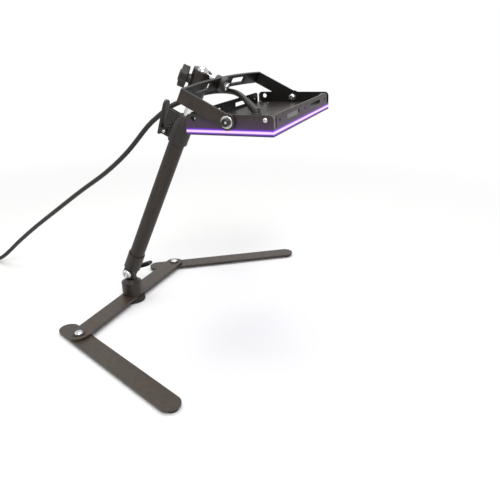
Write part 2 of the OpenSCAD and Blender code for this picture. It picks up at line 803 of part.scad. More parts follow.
module bezel_screws() {
    low = sheet_z - cover_h - bezel_h;
    color(steel) on_lamp() at_bezel_screws() translate([0, 0, low]) {
        cylinder(r = bezel_head_r, h = bezel_head_h, $fn = 32);
        translate([0, 0, bezel_head_h - eps])
            cylinder(r = small_r, h = bezel_h + cover_h + sheet_t - bezel_head_h, $fn = 32);
    }
}

// Cord

module on_gland() on_lamp() translate([gland_x, gland_y, sheet_z + sheet_t + gland_base])
    rotate([0, -gland_lean, -gland_turn]) children();

module cable_gland() {
    color(black) {
        on_lamp() translate([gland_x, gland_y, sheet_z + sheet_t])
            cylinder(r = gland_r, h = gland_base, $fn = fine);
        intersection() {
            on_gland() rotate_extrude($fn = fine)
                polygon([[0, -gland_r], [sleeve_r, -gland_r], [sleeve_r, 4], [sleeve_end_r, gland_l],
                    [0, gland_l]]);
            on_lamp() translate([gland_x - gland_l, gland_y - gland_l, sheet_z + sheet_t + gland_base / 2])
                cube([2 * gland_l, 2 * gland_l, 2 * gland_l]);
        }
    }
}

// A smooth curve through the route's points, by Catmull and Rom's rule
function route_at(p, i) = p[max(0, min(len(p) - 1, i))];
function curve_point(a, b, c, d, t) = 0.5 * ((2 * b) + (c - a) * t + (2 * a - 5 * b + 4 * c - d) * t * t
    + (3 * b - a - 3 * c + d) * t * t * t);
function smooth_route(p, n) = concat([for (i = [0 : len(p) - 2], k = [0 : n - 1])
    curve_point(route_at(p, i - 1), p[i], p[i + 1], route_at(p, i + 2), k / n)], [p[len(p) - 1]]);
function unit(v) = v / norm(v);
function heading(p, i) = unit(route_at(p, i + 1) - route_at(p, i - 1));
function cord_ring(p, i, r) = let (t = heading(p, i), u = unit(cross(t, [0, 0, 1])), v = cross(t, u))
    [for (k = [0 : cord_sides - 1]) let (a = 360 * k / cord_sides) p[i] + r * (cos(a) * u + sin(a) * v)];

module swept_tube(p, r) {
    n = cord_sides;
    m = len(p);
    points = [for (i = [0 : m - 1]) each cord_ring(p, i, r)];
    sides = [for (i = [0 : m - 2], k = [0 : n - 1])
        [i * n + k, i * n + (k + 1) % n, (i + 1) * n + (k + 1) % n, (i + 1) * n + k]];
    polyhedron(points, concat([[for (k = [n - 1 : -1 : 0]) k]], sides,
        [[for (k = [0 : n - 1]) (m - 1) * n + k]]), convexity = 10);
}

module power_cord() {
    color(black) swept_tube(smooth_route(cord_route, cord_steps), cord_r);
}

module cord_tail() {
    color(black) swept_tube(smooth_route(tail_route, 1), cord_r);
}

module cord_coil() {
    color(black) translate([coil_x, coil_y, 0]) rotate_extrude($fn = fine)
        translate([coil_mid_d / 2, coil_z]) slot_2d(coil_turn_w, coil_turn_w, cord_r - 0.2);
}

module coil_tie() {
    inner_w = coil_turn_w + 2 * clear;
    outer_w = inner_w + 2 * tie_t;
    color(black) translate([coil_x + coil_mid_d / 2, coil_y, coil_z]) rotate([90, 0, 0])
        translate([0, 0, -tie_w / 2]) linear_extrude(tie_w) difference() {
            slot_2d(outer_w, outer_w, cord_r + tie_t);
            slot_2d(inner_w, inner_w, cord_r);
        }
}

module plug_body() {
    color(black) translate([plug_x, plug_y, plug_h / 2]) rotate([90, 0, 0]) difference() {
        linear_extrude(plug_l) slot_2d(plug_w, plug_h, plug_corner);
        for (s = [-1, 1]) translate([s * pin_pitch / 2, 0, plug_l - pin_root])
            cylinder(r = plug_pin_r + fit, h = pin_root + 1, $fn = 32);
    }
}

module plug_pins() {
    color(steel) translate([plug_x, plug_y - plug_l + pin_root, plug_h / 2]) rotate([90, 0, 0])
        for (s = [-1, 1]) translate([s * pin_pitch / 2, 0, 0])
            cylinder(r = plug_pin_r, h = pin_len + pin_root, $fn = 32);
}

cross_bar();
leg_near();
leg_far();
leg_washers();
leg_rivets();
rivet_washers();
foot_pads_near();
foot_pads_far();
centre_foot();
post_screw();
post_socket();
hinge_bolt();
wing_knob();
tube_collar();
lower_tube();
tube_bush();
lock_collar();
clamp_screws();
lock_lever();
lever_pin();
inner_rod();
rod_stop();
ball_head_body();
ball_pad();
star_knob();
ball_stem();
stem_platform();
clamp_nut();
lamp_bracket();
pivot_bolts();
pivot_washers();
friction_washers();
pivot_nuts();
lamp_tray();
flange_screws();
board_screws();
led_board();
led_chips();
lens_cover();
bezel_frame();
bezel_screws();
cable_gland();
power_cord();
cord_coil();
cord_tail();
coil_tie();
plug_body();
plug_pins();
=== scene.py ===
import json
import math

import bmesh
import bpy
from mathutils import Matrix, Vector


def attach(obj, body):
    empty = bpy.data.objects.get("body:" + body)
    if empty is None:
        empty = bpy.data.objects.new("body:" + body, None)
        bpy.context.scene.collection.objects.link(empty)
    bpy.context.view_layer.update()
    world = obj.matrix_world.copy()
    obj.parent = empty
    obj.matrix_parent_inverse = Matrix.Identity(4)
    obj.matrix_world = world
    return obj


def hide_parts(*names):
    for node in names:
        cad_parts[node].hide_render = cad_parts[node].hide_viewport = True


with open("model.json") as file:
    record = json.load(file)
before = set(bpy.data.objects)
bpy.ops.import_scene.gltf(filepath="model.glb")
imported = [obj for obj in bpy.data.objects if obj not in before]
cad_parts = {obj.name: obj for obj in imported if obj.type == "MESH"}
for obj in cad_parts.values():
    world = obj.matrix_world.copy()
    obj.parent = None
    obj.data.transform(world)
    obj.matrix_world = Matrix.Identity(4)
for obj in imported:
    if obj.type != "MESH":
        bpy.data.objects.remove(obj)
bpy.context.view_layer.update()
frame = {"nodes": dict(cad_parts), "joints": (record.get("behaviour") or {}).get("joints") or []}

MM = 0.001
JOINTS = {joint["name"]: joint for joint in frame["joints"]}

# Lengths are in millimetres and angles in degrees, where a comment doesn't say otherwise

# Camera, fitted to the photograph's own perspective: its angles in radians, its nearest view in metres
CAMERA_AT = (471.5, -637.7, 398.46)
CAMERA_YAW = 0.3976
CAMERA_PITCH = 0.3915
CAMERA_ROLL = -0.0209
CAMERA_LENS = 38.92
CAMERA_SENSOR = 36.0
CAMERA_NEAREST = 0.02

# Base, from the floor and from the middle of the bar
RIVET_Y = 132.0
NEAR_LEG_ANGLE = 23.0
FAR_LEG_ANGLE = 35.0
LEG_Z = 4.0
BAR_Z = 8.0
BAR_TOP = 11.0
FOOT_D = 18.0
FOOT_H = 4.0
PAD_TAIL_X = -33.0
PAD_FRONT_X = 210.0
CENTRE_FOOT_D = 38.0
WASHER_TOP = 11.8
RIVET_D = 12.0
RIVET_H = 3.2
STRIP_EDGE = 0.35

# Six millimetre threads: radius, root, pitch, and the radius of a loose hole round them
THREAD_R = 3.0
THREAD_ROOT_R = 2.66
THREAD_PITCH = 0.95
BORE_R = 3.05

# Tilt hinge, from its axis
BOSS_Y = -9.8
BOLT_HEAD_D = 15.0
BOLT_HEAD_H = 4.0
BOLT_L = 29.2
KNOB_Y = 8.5
KNOB_HUB_L = 9.0
KNOB_HUB_R = 6.5
KNOB_BAR_L = 52.0
KNOB_BAR_W = 6.0
KNOB_BAR_T = 10.0
KNOB_TURN = 47.5

# Pole, along it from the tilt hinge
ROD_LOW = 136.0
ROD_TOP = 309.0
ROD_R = 5.0
ROD_BORE_R = 3.8
LOCK_PIN_X = -21.0
LOCK_PIN_T = 237.5
LOCK_PIN_R = 2.0
LOCK_PIN_HALF = 7.3
CLAMP_X = -16.0
CLAMP_Y = 4.0
CLAMP_TS = (246.0, 251.5)
STAR_T = 318.0
STAR_X = -15.5
STAR_TURN = 23.0
STAR_DEEP = 9.5
STAR_D = 29.0
STAR_LOBES = 6
STAR_STUD_X = -7.3

# Ball stem, along it from the ball's centre
BALL_D = 16.0
STEM_D = 6.0
PLATFORM_X = (21.0, 26.0)
CLAMP_NUT_X = (29.1, 36.1)
CLAMP_NUT_R = 10.0
END_NUT_X = 39.1
HEX_R = 5.2
STEM_END = 39.4

# Lamp and its bracket's ends, from the middle of the pivots
LAMP_PITCH = 1.2
ARM_OUT = 114.0
PIVOT_WASHER_R = 6.8
PIVOT_WASHER_T = 1.2
LAMP_W = 102.0
LAMP_L = 220.0
SHEET_T = 1.5
PLATE_TOP = -6.0
PLATE_LOW = -7.5
CHIP_LOW = -9.7
BEZEL_LOW = -15.0
RIM_W = 7.0
CHIP_ROWS = 6
CHIP_COLUMNS = 14
CHIP_S = 5.0
CHIP_MARGIN = (4.0, 6.0)
BOARD_SCREW = (30.0, 88.0)
TAB_SCREW = (42.0, 2.25)
GLAND_AT = (-7.0, -12.0)
GLAND_LEAN = 61.0
GLAND_TURN = 33.0
GLAND_L = 22.0
GLAND_R = 5.1

# Mains lead: its run from the lamp and its tail from the coil to the plug
LEAD_D = 7.0
LEAD_RUN = [
    (204.4, -1.5, 313.1), (197.4, 3, 317), (189.5, 7.8, 320.4), (180.5, 12.5, 322.2),
    (171, 16.5, 322.7), (161, 20, 322.5), (149, 23, 321.5), (136, 24.5, 319.5), (122, 25, 316),
    (108, 25, 311), (94, 25, 305.5), (80, 25, 299.5), (60, 25, 286.5), (38, 25, 269),
    (0, 25, 231), (-45, 27, 196), (-100, 30, 161), (-160, 33, 121), (-215, 36, 84),
    (-258, 38, 53), (-286, 39, 31), (-306, 39.5, 16), (-322, 39.5, 7.5), (-340, 39.5, 4),
    (-366, 39.5, 4), (-390, 39.5, 5)]
LEAD_TAIL = [
    (-355.5, 8.5, 12), (-357, 20, 12.6), (-361.5, 32, 12.8), (-371.5, 40.5, 12.6),
    (-383, 45.2, 12), (-396, 47, 10.8), (-409, 45.2, 8.8), (-421, 40.3, 6.8),
    (-431, 32.4, 5.2), (-439, 22, 4.3), (-444, 10, 4), (-445.5, -2.5, 4),
    (-445.5, -14, 5), (-445.5, -25, 7), (-445.5, -32, 7.5), (-445.5, -38, 7.5)]

# Coil, with changes of lane as parts of a turn, and the tie round it
COIL_AT = (-396.0, -2.5)
COIL_R = 38.5
COIL_Z = 8.7
COIL_LANE = 5.4
COIL_TURNS = 3.77
COIL_POINTS = 24
LANE_CHANGE_FROM = 0.8
LANE_CHANGE_LASTS = 0.13
TIE_HALF = 7.3
TIE_W = 6.0
TIE_T = 1.2
TIE_CORNER_R = 2.4

# Plug, its boot and its pins: taper, waist and thinning are shares of its width and height
PLUG_AT = (-445.5, -38.0, 7.5)
PLUG_W = 27.0
PLUG_H = 15.0
PLUG_L = 40.0
PLUG_EDGE_R = 3.4
PLUG_TAPER = 0.34
PLUG_WAIST = 0.05
PLUG_THINNING = 0.2
BOOT_BORE_R = 3.45
BOOT_RIB = 0.7
BOOT_L = 17.4
PIN_D = 4.8
PIN_L = 19.0
PIN_PITCH = 19.0
SLEEVE_R = 2.42
SLEEVE_L = 9.8

# Studio: the floor and its fade to white in metres, and the strength of the room's light
FLOOR_R = 6.0
FLOOR_FADE = (0.35, 1.1)
ROOM_LIGHT = 0.42

# Faces that meet at more than SMOOTH_ANGLE look sharp, and edges over EDGE_ANGLE get rounded
SMOOTH_ANGLE = math.radians(35)
EDGE_ANGLE = math.radians(28)
# How far a face's plane is from the lamp's middle, in metres, while its painted shade goes from the inner
# colour to the outer one
TURN_BLUR = 0.03


def linked(name, data):
    """A new object in the scene."""
    made = bpy.data.objects.new(name, data)
    bpy.context.scene.collection.objects.link(made)
    return made


def camera():
    """The camera at the photograph's viewpoint."""
    yaw = Vector((math.cos(CAMERA_YAW), math.sin(CAMERA_YAW), 0))
    forward = Vector((
        -math.sin(CAMERA_YAW) * math.cos(CAMERA_PITCH),
        math.cos(CAMERA_YAW) * math.cos(CAMERA_PITCH),
        -math.sin(CAMERA_PITCH)))
    up = yaw.cross(forward)
    side = math.cos(CAMERA_ROLL) * yaw + math.sin(CAMERA_ROLL) * up
    top = math.cos(CAMERA_ROLL) * up - math.sin(CAMERA_ROLL) * yaw
    data = bpy.data.cameras.new("camera")
    data.lens = CAMERA_LENS
    data.sensor_width = CAMERA_SENSOR
    data.clip_start = CAMERA_NEAREST
    made = linked("camera", data)
    turn = Matrix((side, top, -forward)).transposed().to_4x4()
    made.matrix_world = Matrix.Translation(Vector(CAMERA_AT) * MM) @ turn
    bpy.context.scene.camera = made


camera()


# Materials

def linear(colour):
    """An sRGB hex colour as Blender's linear one."""
    parts = [int(colour[i:i + 2], 16) / 255 for i in (1, 3, 5)]
    return [c / 12.92 if c <= 0.04045 else ((c + 0.055) / 1.055) ** 2.4 for c in parts] + [1.0]


def emptied(owner):
    """A new material or world, with its nodes on and none in it."""
    owner.use_nodes = True
    owner.node_tree.nodes.clear()
    return owner


def principled(material):
    """The material's main shader node."""
    return next(n for n in material.node_tree.nodes if n.type == "BSDF_PRINCIPLED")


def add(material, kind, values=None, links=None, **settings):
    """A node with its settings, its sockets' values and the sockets that feed it."""
    made = material.node_tree.nodes.new(kind)
    for name, value in settings.items():
        setattr(made, name, value)
    for socket, value in (values or {}).items():
        made.inputs[socket].default_value = value
    for socket, source in (links or {}).items():
        material.node_tree.links.new(source, made.inputs[socket])
    return made


def pattern(material, size, lean, seed=0.0, detail=2.0):
    """Noise whose lumps are size millimetres along X, Y and Z, leaned about Y by lean degrees."""
    where = add(material, "ShaderNodeTexCoord")
    turned = add(
        material, "ShaderNodeMapping",
        {"Location": (seed, seed, seed), "Rotation": (0, math.radians(lean), 0),
         "Scale": [length * MM for length in size]},
        {"Vector": where.outputs["Object"]}, vector_type="TEXTURE")
    noise = add(
        material, "ShaderNodeTexNoise", {"Scale": 1.0, "Detail": detail, "Roughness": 0.55},
        {"Vector": turned.outputs["Vector"]})
    return noise.outputs[0]


def ranged(material, source, low, high, start=0.3, end=0.7):
    """A value from low to high as the source goes from start to end."""
    made = add(
        material, "ShaderNodeMapRange",
        {"From Min": start, "From Max": end, "To Min": low, "To Max": high}, {"Value": source})
    return made.outputs[0]


def mixed(material, amount, first, second):
    """Two hex colours, or sockets, mixed by the amount."""
    values = {}
    links = {0: amount}
    for socket, colour in ((6, first), (7, second)):
        if isinstance(colour, str):
            values[socket] = linear(colour)
        else:
            links[socket] = colour
    made = add(material, "ShaderNodeMix", values, links, data_type="RGBA")
    return made.outputs[2]


def facing_out(material):
    """1 on upright faces that look away from the lamp's middle, and 0 on those that look back at it."""
    where = add(material, "ShaderNodeTexCoord")
    centred = add(
        material, "ShaderNodeVectorMath", {1: JOINTS["lamp_tilt"]["pos_m"]},
        {0: where.outputs["Object"]}, operation="SUBTRACT")
    level = add(
        material, "ShaderNodeVectorMath", {1: (1, 1, 0)}, {0: centred.outputs["Vector"]},
        operation="MULTIPLY")
    look = add(
        material, "ShaderNodeVectorMath",
        links={0: level.outputs["Vector"], 1: where.outputs["Normal"]}, operation="DOT_PRODUCT")
    return ranged(material, look.outputs["Value"], 0.0, 1.0, -TURN_BLUR, TURN_BLUR)


def lamp_height(material):
    """Height above the lamp's pivots in metres, in the lamp's own tilt."""
    where = add(material, "ShaderNodeTexCoord")
    level = add(
        material, "ShaderNodeMapping",
        {"Location": JOINTS["lamp_tilt"]["pos_m"], "Rotation": (0, math.radians(-LAMP_PITCH), 0)},
        {"Vector": where.outputs["Object"]}, vector_type="TEXTURE")
    apart = add(material, "ShaderNodeSeparateXYZ", links={"Vector": level.outputs["Vector"]})
    return apart.outputs["Z"]


def finish(name, colours, mottle, rough, grain=None, depth=0.0, lean=0.0, inner=None, **shader):
    """A finish mottled between two colours, with its own roughness range and surface grain.

    mottle and grain are sizes in millimetres along X, Y and Z, and depth is the grain's height.
    inner is a painted shade: a darker colour put on the faces that look in towards the lamp, because they
    are out of the room's light."""
    material = emptied(bpy.data.materials.new(name))
    cloud = pattern(material, mottle, lean, detail=4.0)
    tone = mixed(material, ranged(material, cloud, 0.0, 1.0), *colours)
    if inner:
        # Painted shade: faces that look in towards the lamp get the darker inner colour
        tone = mixed(material, facing_out(material), inner, tone)
    dull = pattern(material, [size * 0.6 for size in mottle], lean, seed=0.37)
    links = {"Base Color": tone, "Roughness": ranged(material, dull, *rough)}
    if grain:
        relief = add(
            material, "ShaderNodeBump", {"Strength": 1.0, "Distance": depth * MM},
            {"Height": pattern(material, grain, lean, seed=0.11)})
        links["Normal"] = relief.outputs[0]
    values = {label.replace("_", " "): value for label, value in shader.items()}
    shade = add(material, "ShaderNodeBsdfPrincipled", values, links)
    add(material, "ShaderNodeOutputMaterial", links={"Surface": shade.outputs[0]})
    return material


# Satin powder coat baked on steel strip: a fine orange peel breaks up its soft warm grey reflections
powder_coat = finish(
    "powder_coated_steel", ("#30271f", "#3c3228"), (9, 9, 9), (0.38, 0.48),
    grain=(1.1, 1.1, 1.1), depth=0.022, IOR=1.48)
# The same coat on the bracket's bent strip, a little blacker, with painted shade on the faces that look
# in towards the lamp
bracket_coat = finish(
    "powder_coated_bracket", ("#2a231f", "#352d28"), (9, 9, 9), (0.36, 0.46),
    grain=(1.1, 1.1, 1.1), depth=0.02, inner="#0a0807", IOR=1.38)
# The same coat on the lamp's folded sheet, smoother, so it mirrors softly at a low angle, with painted
# shade on the faces that look in towards the lamp
tray_coat = finish(
    "powder_coated_sheet", ("#2b2523", "#372f2c"), (14, 14, 14), (0.3, 0.38),
    grain=(1.4, 1.4, 1.4), depth=0.016, inner="#0b0908", IOR=1.4)
# Anodised aluminium tube, dyed black: drawing lines run along it and catch a long highlight
anodised = finish(
    "black_anodised_tube", ("#2b2622", "#38322d"), (1.2, 1.2, 60), (0.34, 0.44),
    grain=(0.5, 0.5, 40), depth=0.006, lean=26, IOR=1.3)
# Black enamel on castings: slightly glossy, with soft lumps left by the mould
enamel = finish(
    "enamelled_casting", ("#211c19", "#2d2723"), (6, 6, 6), (0.32, 0.44),
    grain=(1.6, 1.6, 1.6), depth=0.03, IOR=1.4)
# Black oxide on turned steel nuts and screws: a dark, oily satin
black_oxide = finish(
    "black_oxide_steel", ("#191715", "#26221f"), (3, 3, 3), (0.28, 0.38),
    grain=(0.8, 0.8, 0.8), depth=0.008, IOR=1.5)
# Glass filled nylon, moulded: a dull spark-eroded texture
nylon_black = finish(
    "moulded_black_nylon", ("#1c1815", "#28231f"), (4, 4, 4), (0.42, 0.56),
    grain=(0.6, 0.6, 0.6), depth=0.02, IOR=1.38)
# The same nylon on the lever and its collar: a little smoother, where hands rub it
nylon_grey = finish(
    "moulded_grey_nylon", ("#1b1714", "#26211e"), (5, 5, 5), (0.4, 0.54),
    grain=(0.6, 0.6, 0.6), depth=0.02, IOR=1.42)
# Rubber for feet: dead matt, dusty on its high spots
rubber = finish(
    "moulded_rubber", ("#161412", "#242120"), (3, 3, 3), (0.74, 0.9),
    grain=(0.8, 0.8, 0.8), depth=0.03, IOR=1.5)
# Zinc plated steel: cool and bright, clouded where the plating is thicker
zinc = finish(
    "zinc_plated_steel", ("#b4b5b6", "#d6d7d7"), (3, 3, 3), (0.18, 0.34),
    grain=(0.7, 0.7, 0.7), depth=0.008, Metallic=1.0)
# Turned steel for the sliding rod: faint rings round it, left by the lathe
turned_steel = finish(
    "turned_bright_steel", ("#c6c7c8", "#dcdcdb"), (8, 8, 0.5), (0.12, 0.2),
    grain=(9, 9, 0.35), depth=0.003, lean=26, Metallic=1.0)
# Chrome plate on the ball and its stem: nearly a mirror
chrome = finish(
    "chrome_plate", ("#b4b6b8", "#c8cacb"), (6, 6, 6), (0.05, 0.1),
    grain=(3, 3, 3), depth=0.002, Metallic=1.0)
# Natural nylon washers: milky and soft edged
nylon_white = finish(
    "natural_nylon", ("#d8d3c6", "#e8e4da"), (4, 4, 4), (0.4, 0.5),
    grain=(0.8, 0.8, 0.8), depth=0.008, IOR=1.53, Subsurface_Weight=0.15, Subsurface_Scale=0.002)
# PVC jacket of the lead: smooth with a soft shine and slow ripples from the extruder
lead_pvc = finish(
    "extruded_pvc", ("#15120f", "#211d1a"), (12, 12, 12), (0.34, 0.44),
    grain=(5, 5, 5), depth=0.05, IOR=1.42)
# Plug in the same PVC, moulded, duller
plug_pvc = finish(
    "moulded_pvc", ("#171615", "#232120"), (5, 5, 5), (0.46, 0.58),
    grain=(0.7, 0.7, 0.7), depth=0.02, IOR=1.5)
# Nickel plated brass pins: warm and bright, with faint rubs from use
nickel = finish(
    "nickel_plated_brass", ("#c3bda9", "#dcd8ca"), (2, 6, 2), (0.16, 0.3),
    grain=(0.5, 4, 0.5), depth=0.005, Metallic=1.0)


def glow(name, colours, mottle, rough, bands, strength):
    """A finish that also shines: bands are (height in the lamp in millimetres, hex colour)."""
    material = finish(name, colours, mottle, rough)
    shade = principled(material)
    low, high = bands[0][0], bands[-1][0]
    up = ranged(material, lamp_height(material), 0.0, 1.0, low * MM, high * MM)
    ramp = add(material, "ShaderNodeValToRGB", links={"Fac": up})
    stops = ramp.color_ramp.elements
    while len(stops) < len(bands):
        stops.new(0.5)
    for stop, (height, colour) in zip(stops, bands):
        stop.position = (height - low) / (high - low)
        stop.color = linear(colour)
    material.node_tree.links.new(ramp.outputs["Color"], shade.inputs["Emission Color"])
    shade.inputs["Emission Strength"].default_value = strength
    return material


def painted_light_spill(material, colour, strength, low, high):
    """Painted light: the lamp's violet light put on a coat's outer faces as emission, strongest at height
    low and gone at height high.
    """
    shade = principled(material)
    fade = ranged(material, lamp_height(material), strength, 0.0, low * MM, high * MM)
    outer = ranged(material, facing_out(material), 0.0, 1.0, 0.6, 1.0)
    amount = add(material, "ShaderNodeMath", links={0: fade, 1: outer}, operation="MULTIPLY")
    material.node_tree.links.new(amount.outputs[0], shade.inputs["Emission Strength"])
    shade.inputs["Emission Color"].default_value = linear(colour)


# Painted light: a trace of violet emission on the flanges' outer faces, as the lit edge is right under
# them
painted_light_spill(tray_coat, "#b45cff", 0.05, PLATE_LOW, 6.0)
# Clear acrylic over the lamps, lit from behind: deep violet, with a pink-white core along its edge
lit_acrylic = glow(
    "lit_clear_acrylic", ("#3a2266", "#46297a"), (8, 8, 8), (0.12, 0.2),
    [(-12.6, "#7a34c8"), (-12.2, "#c884f4"), (-11.7, "#ffc8ff"), (-10.8, "#ffe9ff"),
     (-10.0, "#ffd0ff"), (-9.4, "#b06cec"), (-8.9, "#5a1ca6"), (-7.5, "#32086a")], 1.0)
# Painted light: the frame's coat glows violet along its upper edge as emission, standing in for the
# lamp's light caught there
lit_coat = glow(
    "powder_coat_in_violet_light", ("#1b1715", "#25201d"), (9, 9, 9), (0.36, 0.46),
    [(-15.0, "#200a48"), (-14.2, "#2c1060"), (-13.3, "#43208a"), (-12.5, "#6a38bc")], 0.8)
# Silicone domes of the lamp chips, alight
lit_silicone = glow(
    "lit_silicone_dome", ("#8a6fd0", "#a48be0"), (2, 2, 2), (0.2, 0.3),
    [(-10.5, "#d9b0ff"), (-8.5, "#7a3ff0")], 1.2)
# White solder mask on the lamp's board: a chalky gloss, with low waves from the copper under it
board_mask = finish(
    "white_solder_mask", ("#d9dbd8", "#eceeea"), (6, 6, 6), (0.28, 0.38),
    grain=(1.2, 1.2, 1.2), depth=0.01, IOR=1.5)


# Shapes, all drawn in millimetres and placed by one matrix

def placed(origin, z_axis=(0, 0, 1)):
    """From millimetres about a point to the frame, with Z along z_axis and Y kept."""
    z = Vector(z_axis).normalized()
    y = Vector((0, 1, 0))
    turn = Matrix((y.cross(z), y, z)).transposed().to_4x4()
    return Matrix.Translation(origin) @ turn @ Matrix.Scale(MM, 4)


POLE_AXIS = Vector(JOINTS["rod_extend"]["axis"])
STEM_AXIS = Vector(JOINTS["bracket_swivel"]["axis"])
BASE = placed((0, 0, 0))
POLE = placed(JOINTS["post_tilt"]["pos_m"], POLE_AXIS)
STEM = placed(JOINTS["ball_tilt"]["pos_m"], STEM_AXIS.cross(Vector((0, 1, 0))))
LAMP = placed(
    JOINTS["lamp_tilt"]["pos_m"],
    (-math.sin(math.radians(LAMP_PITCH)), 0, math.cos(math.radians(LAMP_PITCH))))
STAR_SPIN = Matrix.Rotation(math.radians(STAR_TURN), 4, "Z")

# Turns that lay a shape's own Z along X or Y, or back along them
HERE = Matrix.Identity(4)
ALONG_X = Matrix.Rotation(math.radians(90), 4, "Y")
ALONG_Y = Matrix.Rotation(math.radians(-90), 4, "X")
BACK_X = ALONG_X.inverted()
BACK_Y = ALONG_Y.inverted()


def at(x, y, z, turn=HERE):
    """A place in millimetres, with a turn of its own first."""
    return Matrix.Translation((x, y, z)) @ turn


NEAR_LEG = at(0, -RIVET_Y, 0, Matrix.Rotation(math.radians(-NEAR_LEG_ANGLE), 4, "Z"))
FAR_LEG = at(0, RIVET_Y, 0, Matrix.Rotation(math.radians(FAR_LEG_ANGLE), 4, "Z"))


def soften(bm, width, segments=2):
    """Rounds every edge sharper than EDGE_ANGLE."""
    sharp = [edge for edge in bm.edges if edge.is_manifold and edge.calc_face_angle(0) > EDGE_ANGLE]
    bmesh.ops.bevel(
        bm, geom=sharp, offset=width, offset_type="OFFSET", segments=segments, profile=0.5,
        affect="EDGES", clamp_overlap=True, material=-1)
    return bm


def lathe(profile, steps=64, loop=False, round_by=0.0):
    """A turned part: (radius, height) points spun once about Z. A loop closes back on its first point."""
    bm = bmesh.new()
    points = [bm.verts.new((radius, 0, height)) for radius, height in profile]
    lines = [bm.edges.new(pair) for pair in zip(points, points[1:])]
    if loop:
        lines.append(bm.edges.new((points[-1], points[0])))
    bmesh.ops.spin(
        bm, geom=points + lines, cent=(0, 0, 0), axis=(0, 0, 1), dvec=(0, 0, 0),
        angle=math.tau, steps=steps, use_merge=True, use_duplicate=False)
    bmesh.ops.remove_doubles(bm, verts=bm.verts, dist=0.0005)
    bmesh.ops.recalc_face_normals(bm, faces=bm.faces)
    if round_by:
        soften(bm, round_by)
    return bm


def raised(bm, height):
    """Draws a flat face up into a solid."""
    drawn = bmesh.ops.extrude_face_region(bm, geom=list(bm.faces))
    top = [part for part in drawn["geom"] if isinstance(part, bmesh.types.BMVert)]
    bmesh.ops.translate(bm, verts=top, vec=(0, 0, height))
    bmesh.ops.recalc_face_normals(bm, faces=bm.faces)
    return bm


def plate(sides, radius, height, wave=None, round_by=0.0, segments=2):
    """A round or waved plate: wave(angle) scales the radius."""
    bm = bmesh.new()
    bmesh.ops.create_circle(bm, cap_ends=True, segments=sides, radius=radius)
    for point in bm.verts:
        scale = wave(math.atan2(point.co.y, point.co.x)) if wave else 1.0
        point.co.x *= scale
        point.co.y *= scale
    raised(bm, height)
    if round_by:
        soften(bm, round_by, segments)
    return bm


def block(x, y, z, round_by):
    """A block of that size about its own middle, with rounded edges."""
    bm = bmesh.new()
    bmesh.ops.create_cube(bm, size=1.0, matrix=Matrix.Diagonal((x, y, z, 1)))
    return soften(bm, round_by)


def joined(*parts):
    """Several shapes, each with its place, as one."""
    whole = bmesh.new()
    for bm, place in parts:
        bm.transform(place)
        shell = bpy.data.meshes.new("part")
        bm.to_mesh(shell)
        bm.free()
        whole.from_mesh(shell)
        bpy.data.meshes.remove(shell)
    return whole


def repeated(bm, places):
    """One shape put at several places."""
    shell = bpy.data.meshes.new("part")
    bm.to_mesh(shell)
    bm.free()
    whole = bmesh.new()
    for place in places:
        start = len(whole.verts)
        whole.from_mesh(shell)
        whole.verts.ensure_lookup_table()
        bmesh.ops.transform(whole, matrix=place, verts=whole.verts[start:])
    bpy.data.meshes.remove(shell)
    return whole


def dress(obj, body, nodes):
    """Hangs a finished piece on its body, and hides the nodes that it stands for."""
    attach(obj, body)
    if nodes:
        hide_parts(*nodes)
    return obj


def piece(name, bm, place, body, material, slot, *nodes):
    """A finished piece from a shape drawn in millimetres."""
    bm.transform(place)
    mesh = bpy.data.meshes.new(name)
    bm.to_mesh(mesh)
    bm.free()
    mesh.materials.append(material)
    for face in mesh.polygons:
        face.use_smooth = True
    mesh.set_sharp_from_angle(angle=SMOOTH_ANGLE)
    obj = linked(name, mesh)
    weights = obj.modifiers.new("weighted_normals", "WEIGHTED_NORMAL")
    weights.keep_sharp = True
    return dress(obj, body, nodes)


def rounded(name, node, body, material, slot, width, segments=2):
    """A copy of a node's own solid with its edges rounded by width millimetres."""
    bm = bmesh.new()
    bm.from_mesh(frame["nodes"][node].data)
    bmesh.ops.remove_doubles(bm, verts=bm.verts, dist=0.000002)
    bmesh.ops.recalc_face_normals(bm, faces=bm.faces)
    bmesh.ops.dissolve_limit(
        bm, angle_limit=math.radians(1), use_dissolve_boundaries=False,
        verts=bm.verts, edges=bm.edges)
    soften(bm, width * MM, segments)
    return piece(name, bm, HERE, body, material, slot, node)


def refinish(node, material):
    """A node whose shape is right keeps it, and gets a finish."""
    for item in frame["nodes"][node].material_slots:
        item.material = material


# Mains lead, from the lamp's strain relief to its coil and its plug

def coil_point(turn):
    """A point of the coil: four lanes, two by two, that the lead changes just before each full turn."""
    whole = math.floor(turn)
    change = min(1.0, max(0.0, (turn - whole - LANE_CHANGE_FROM) / LANE_CHANGE_LASTS))
    lane = math.radians(-45 - 90 * (whole + change * change * (3 - 2 * change)))
    angle = math.tau * turn
    radius = COIL_R + COIL_LANE * math.cos(lane)
    return (
        COIL_AT[0] - radius * math.sin(angle), COIL_AT[1] + radius * math.cos(angle),
        COIL_Z + COIL_LANE * math.sin(lane))


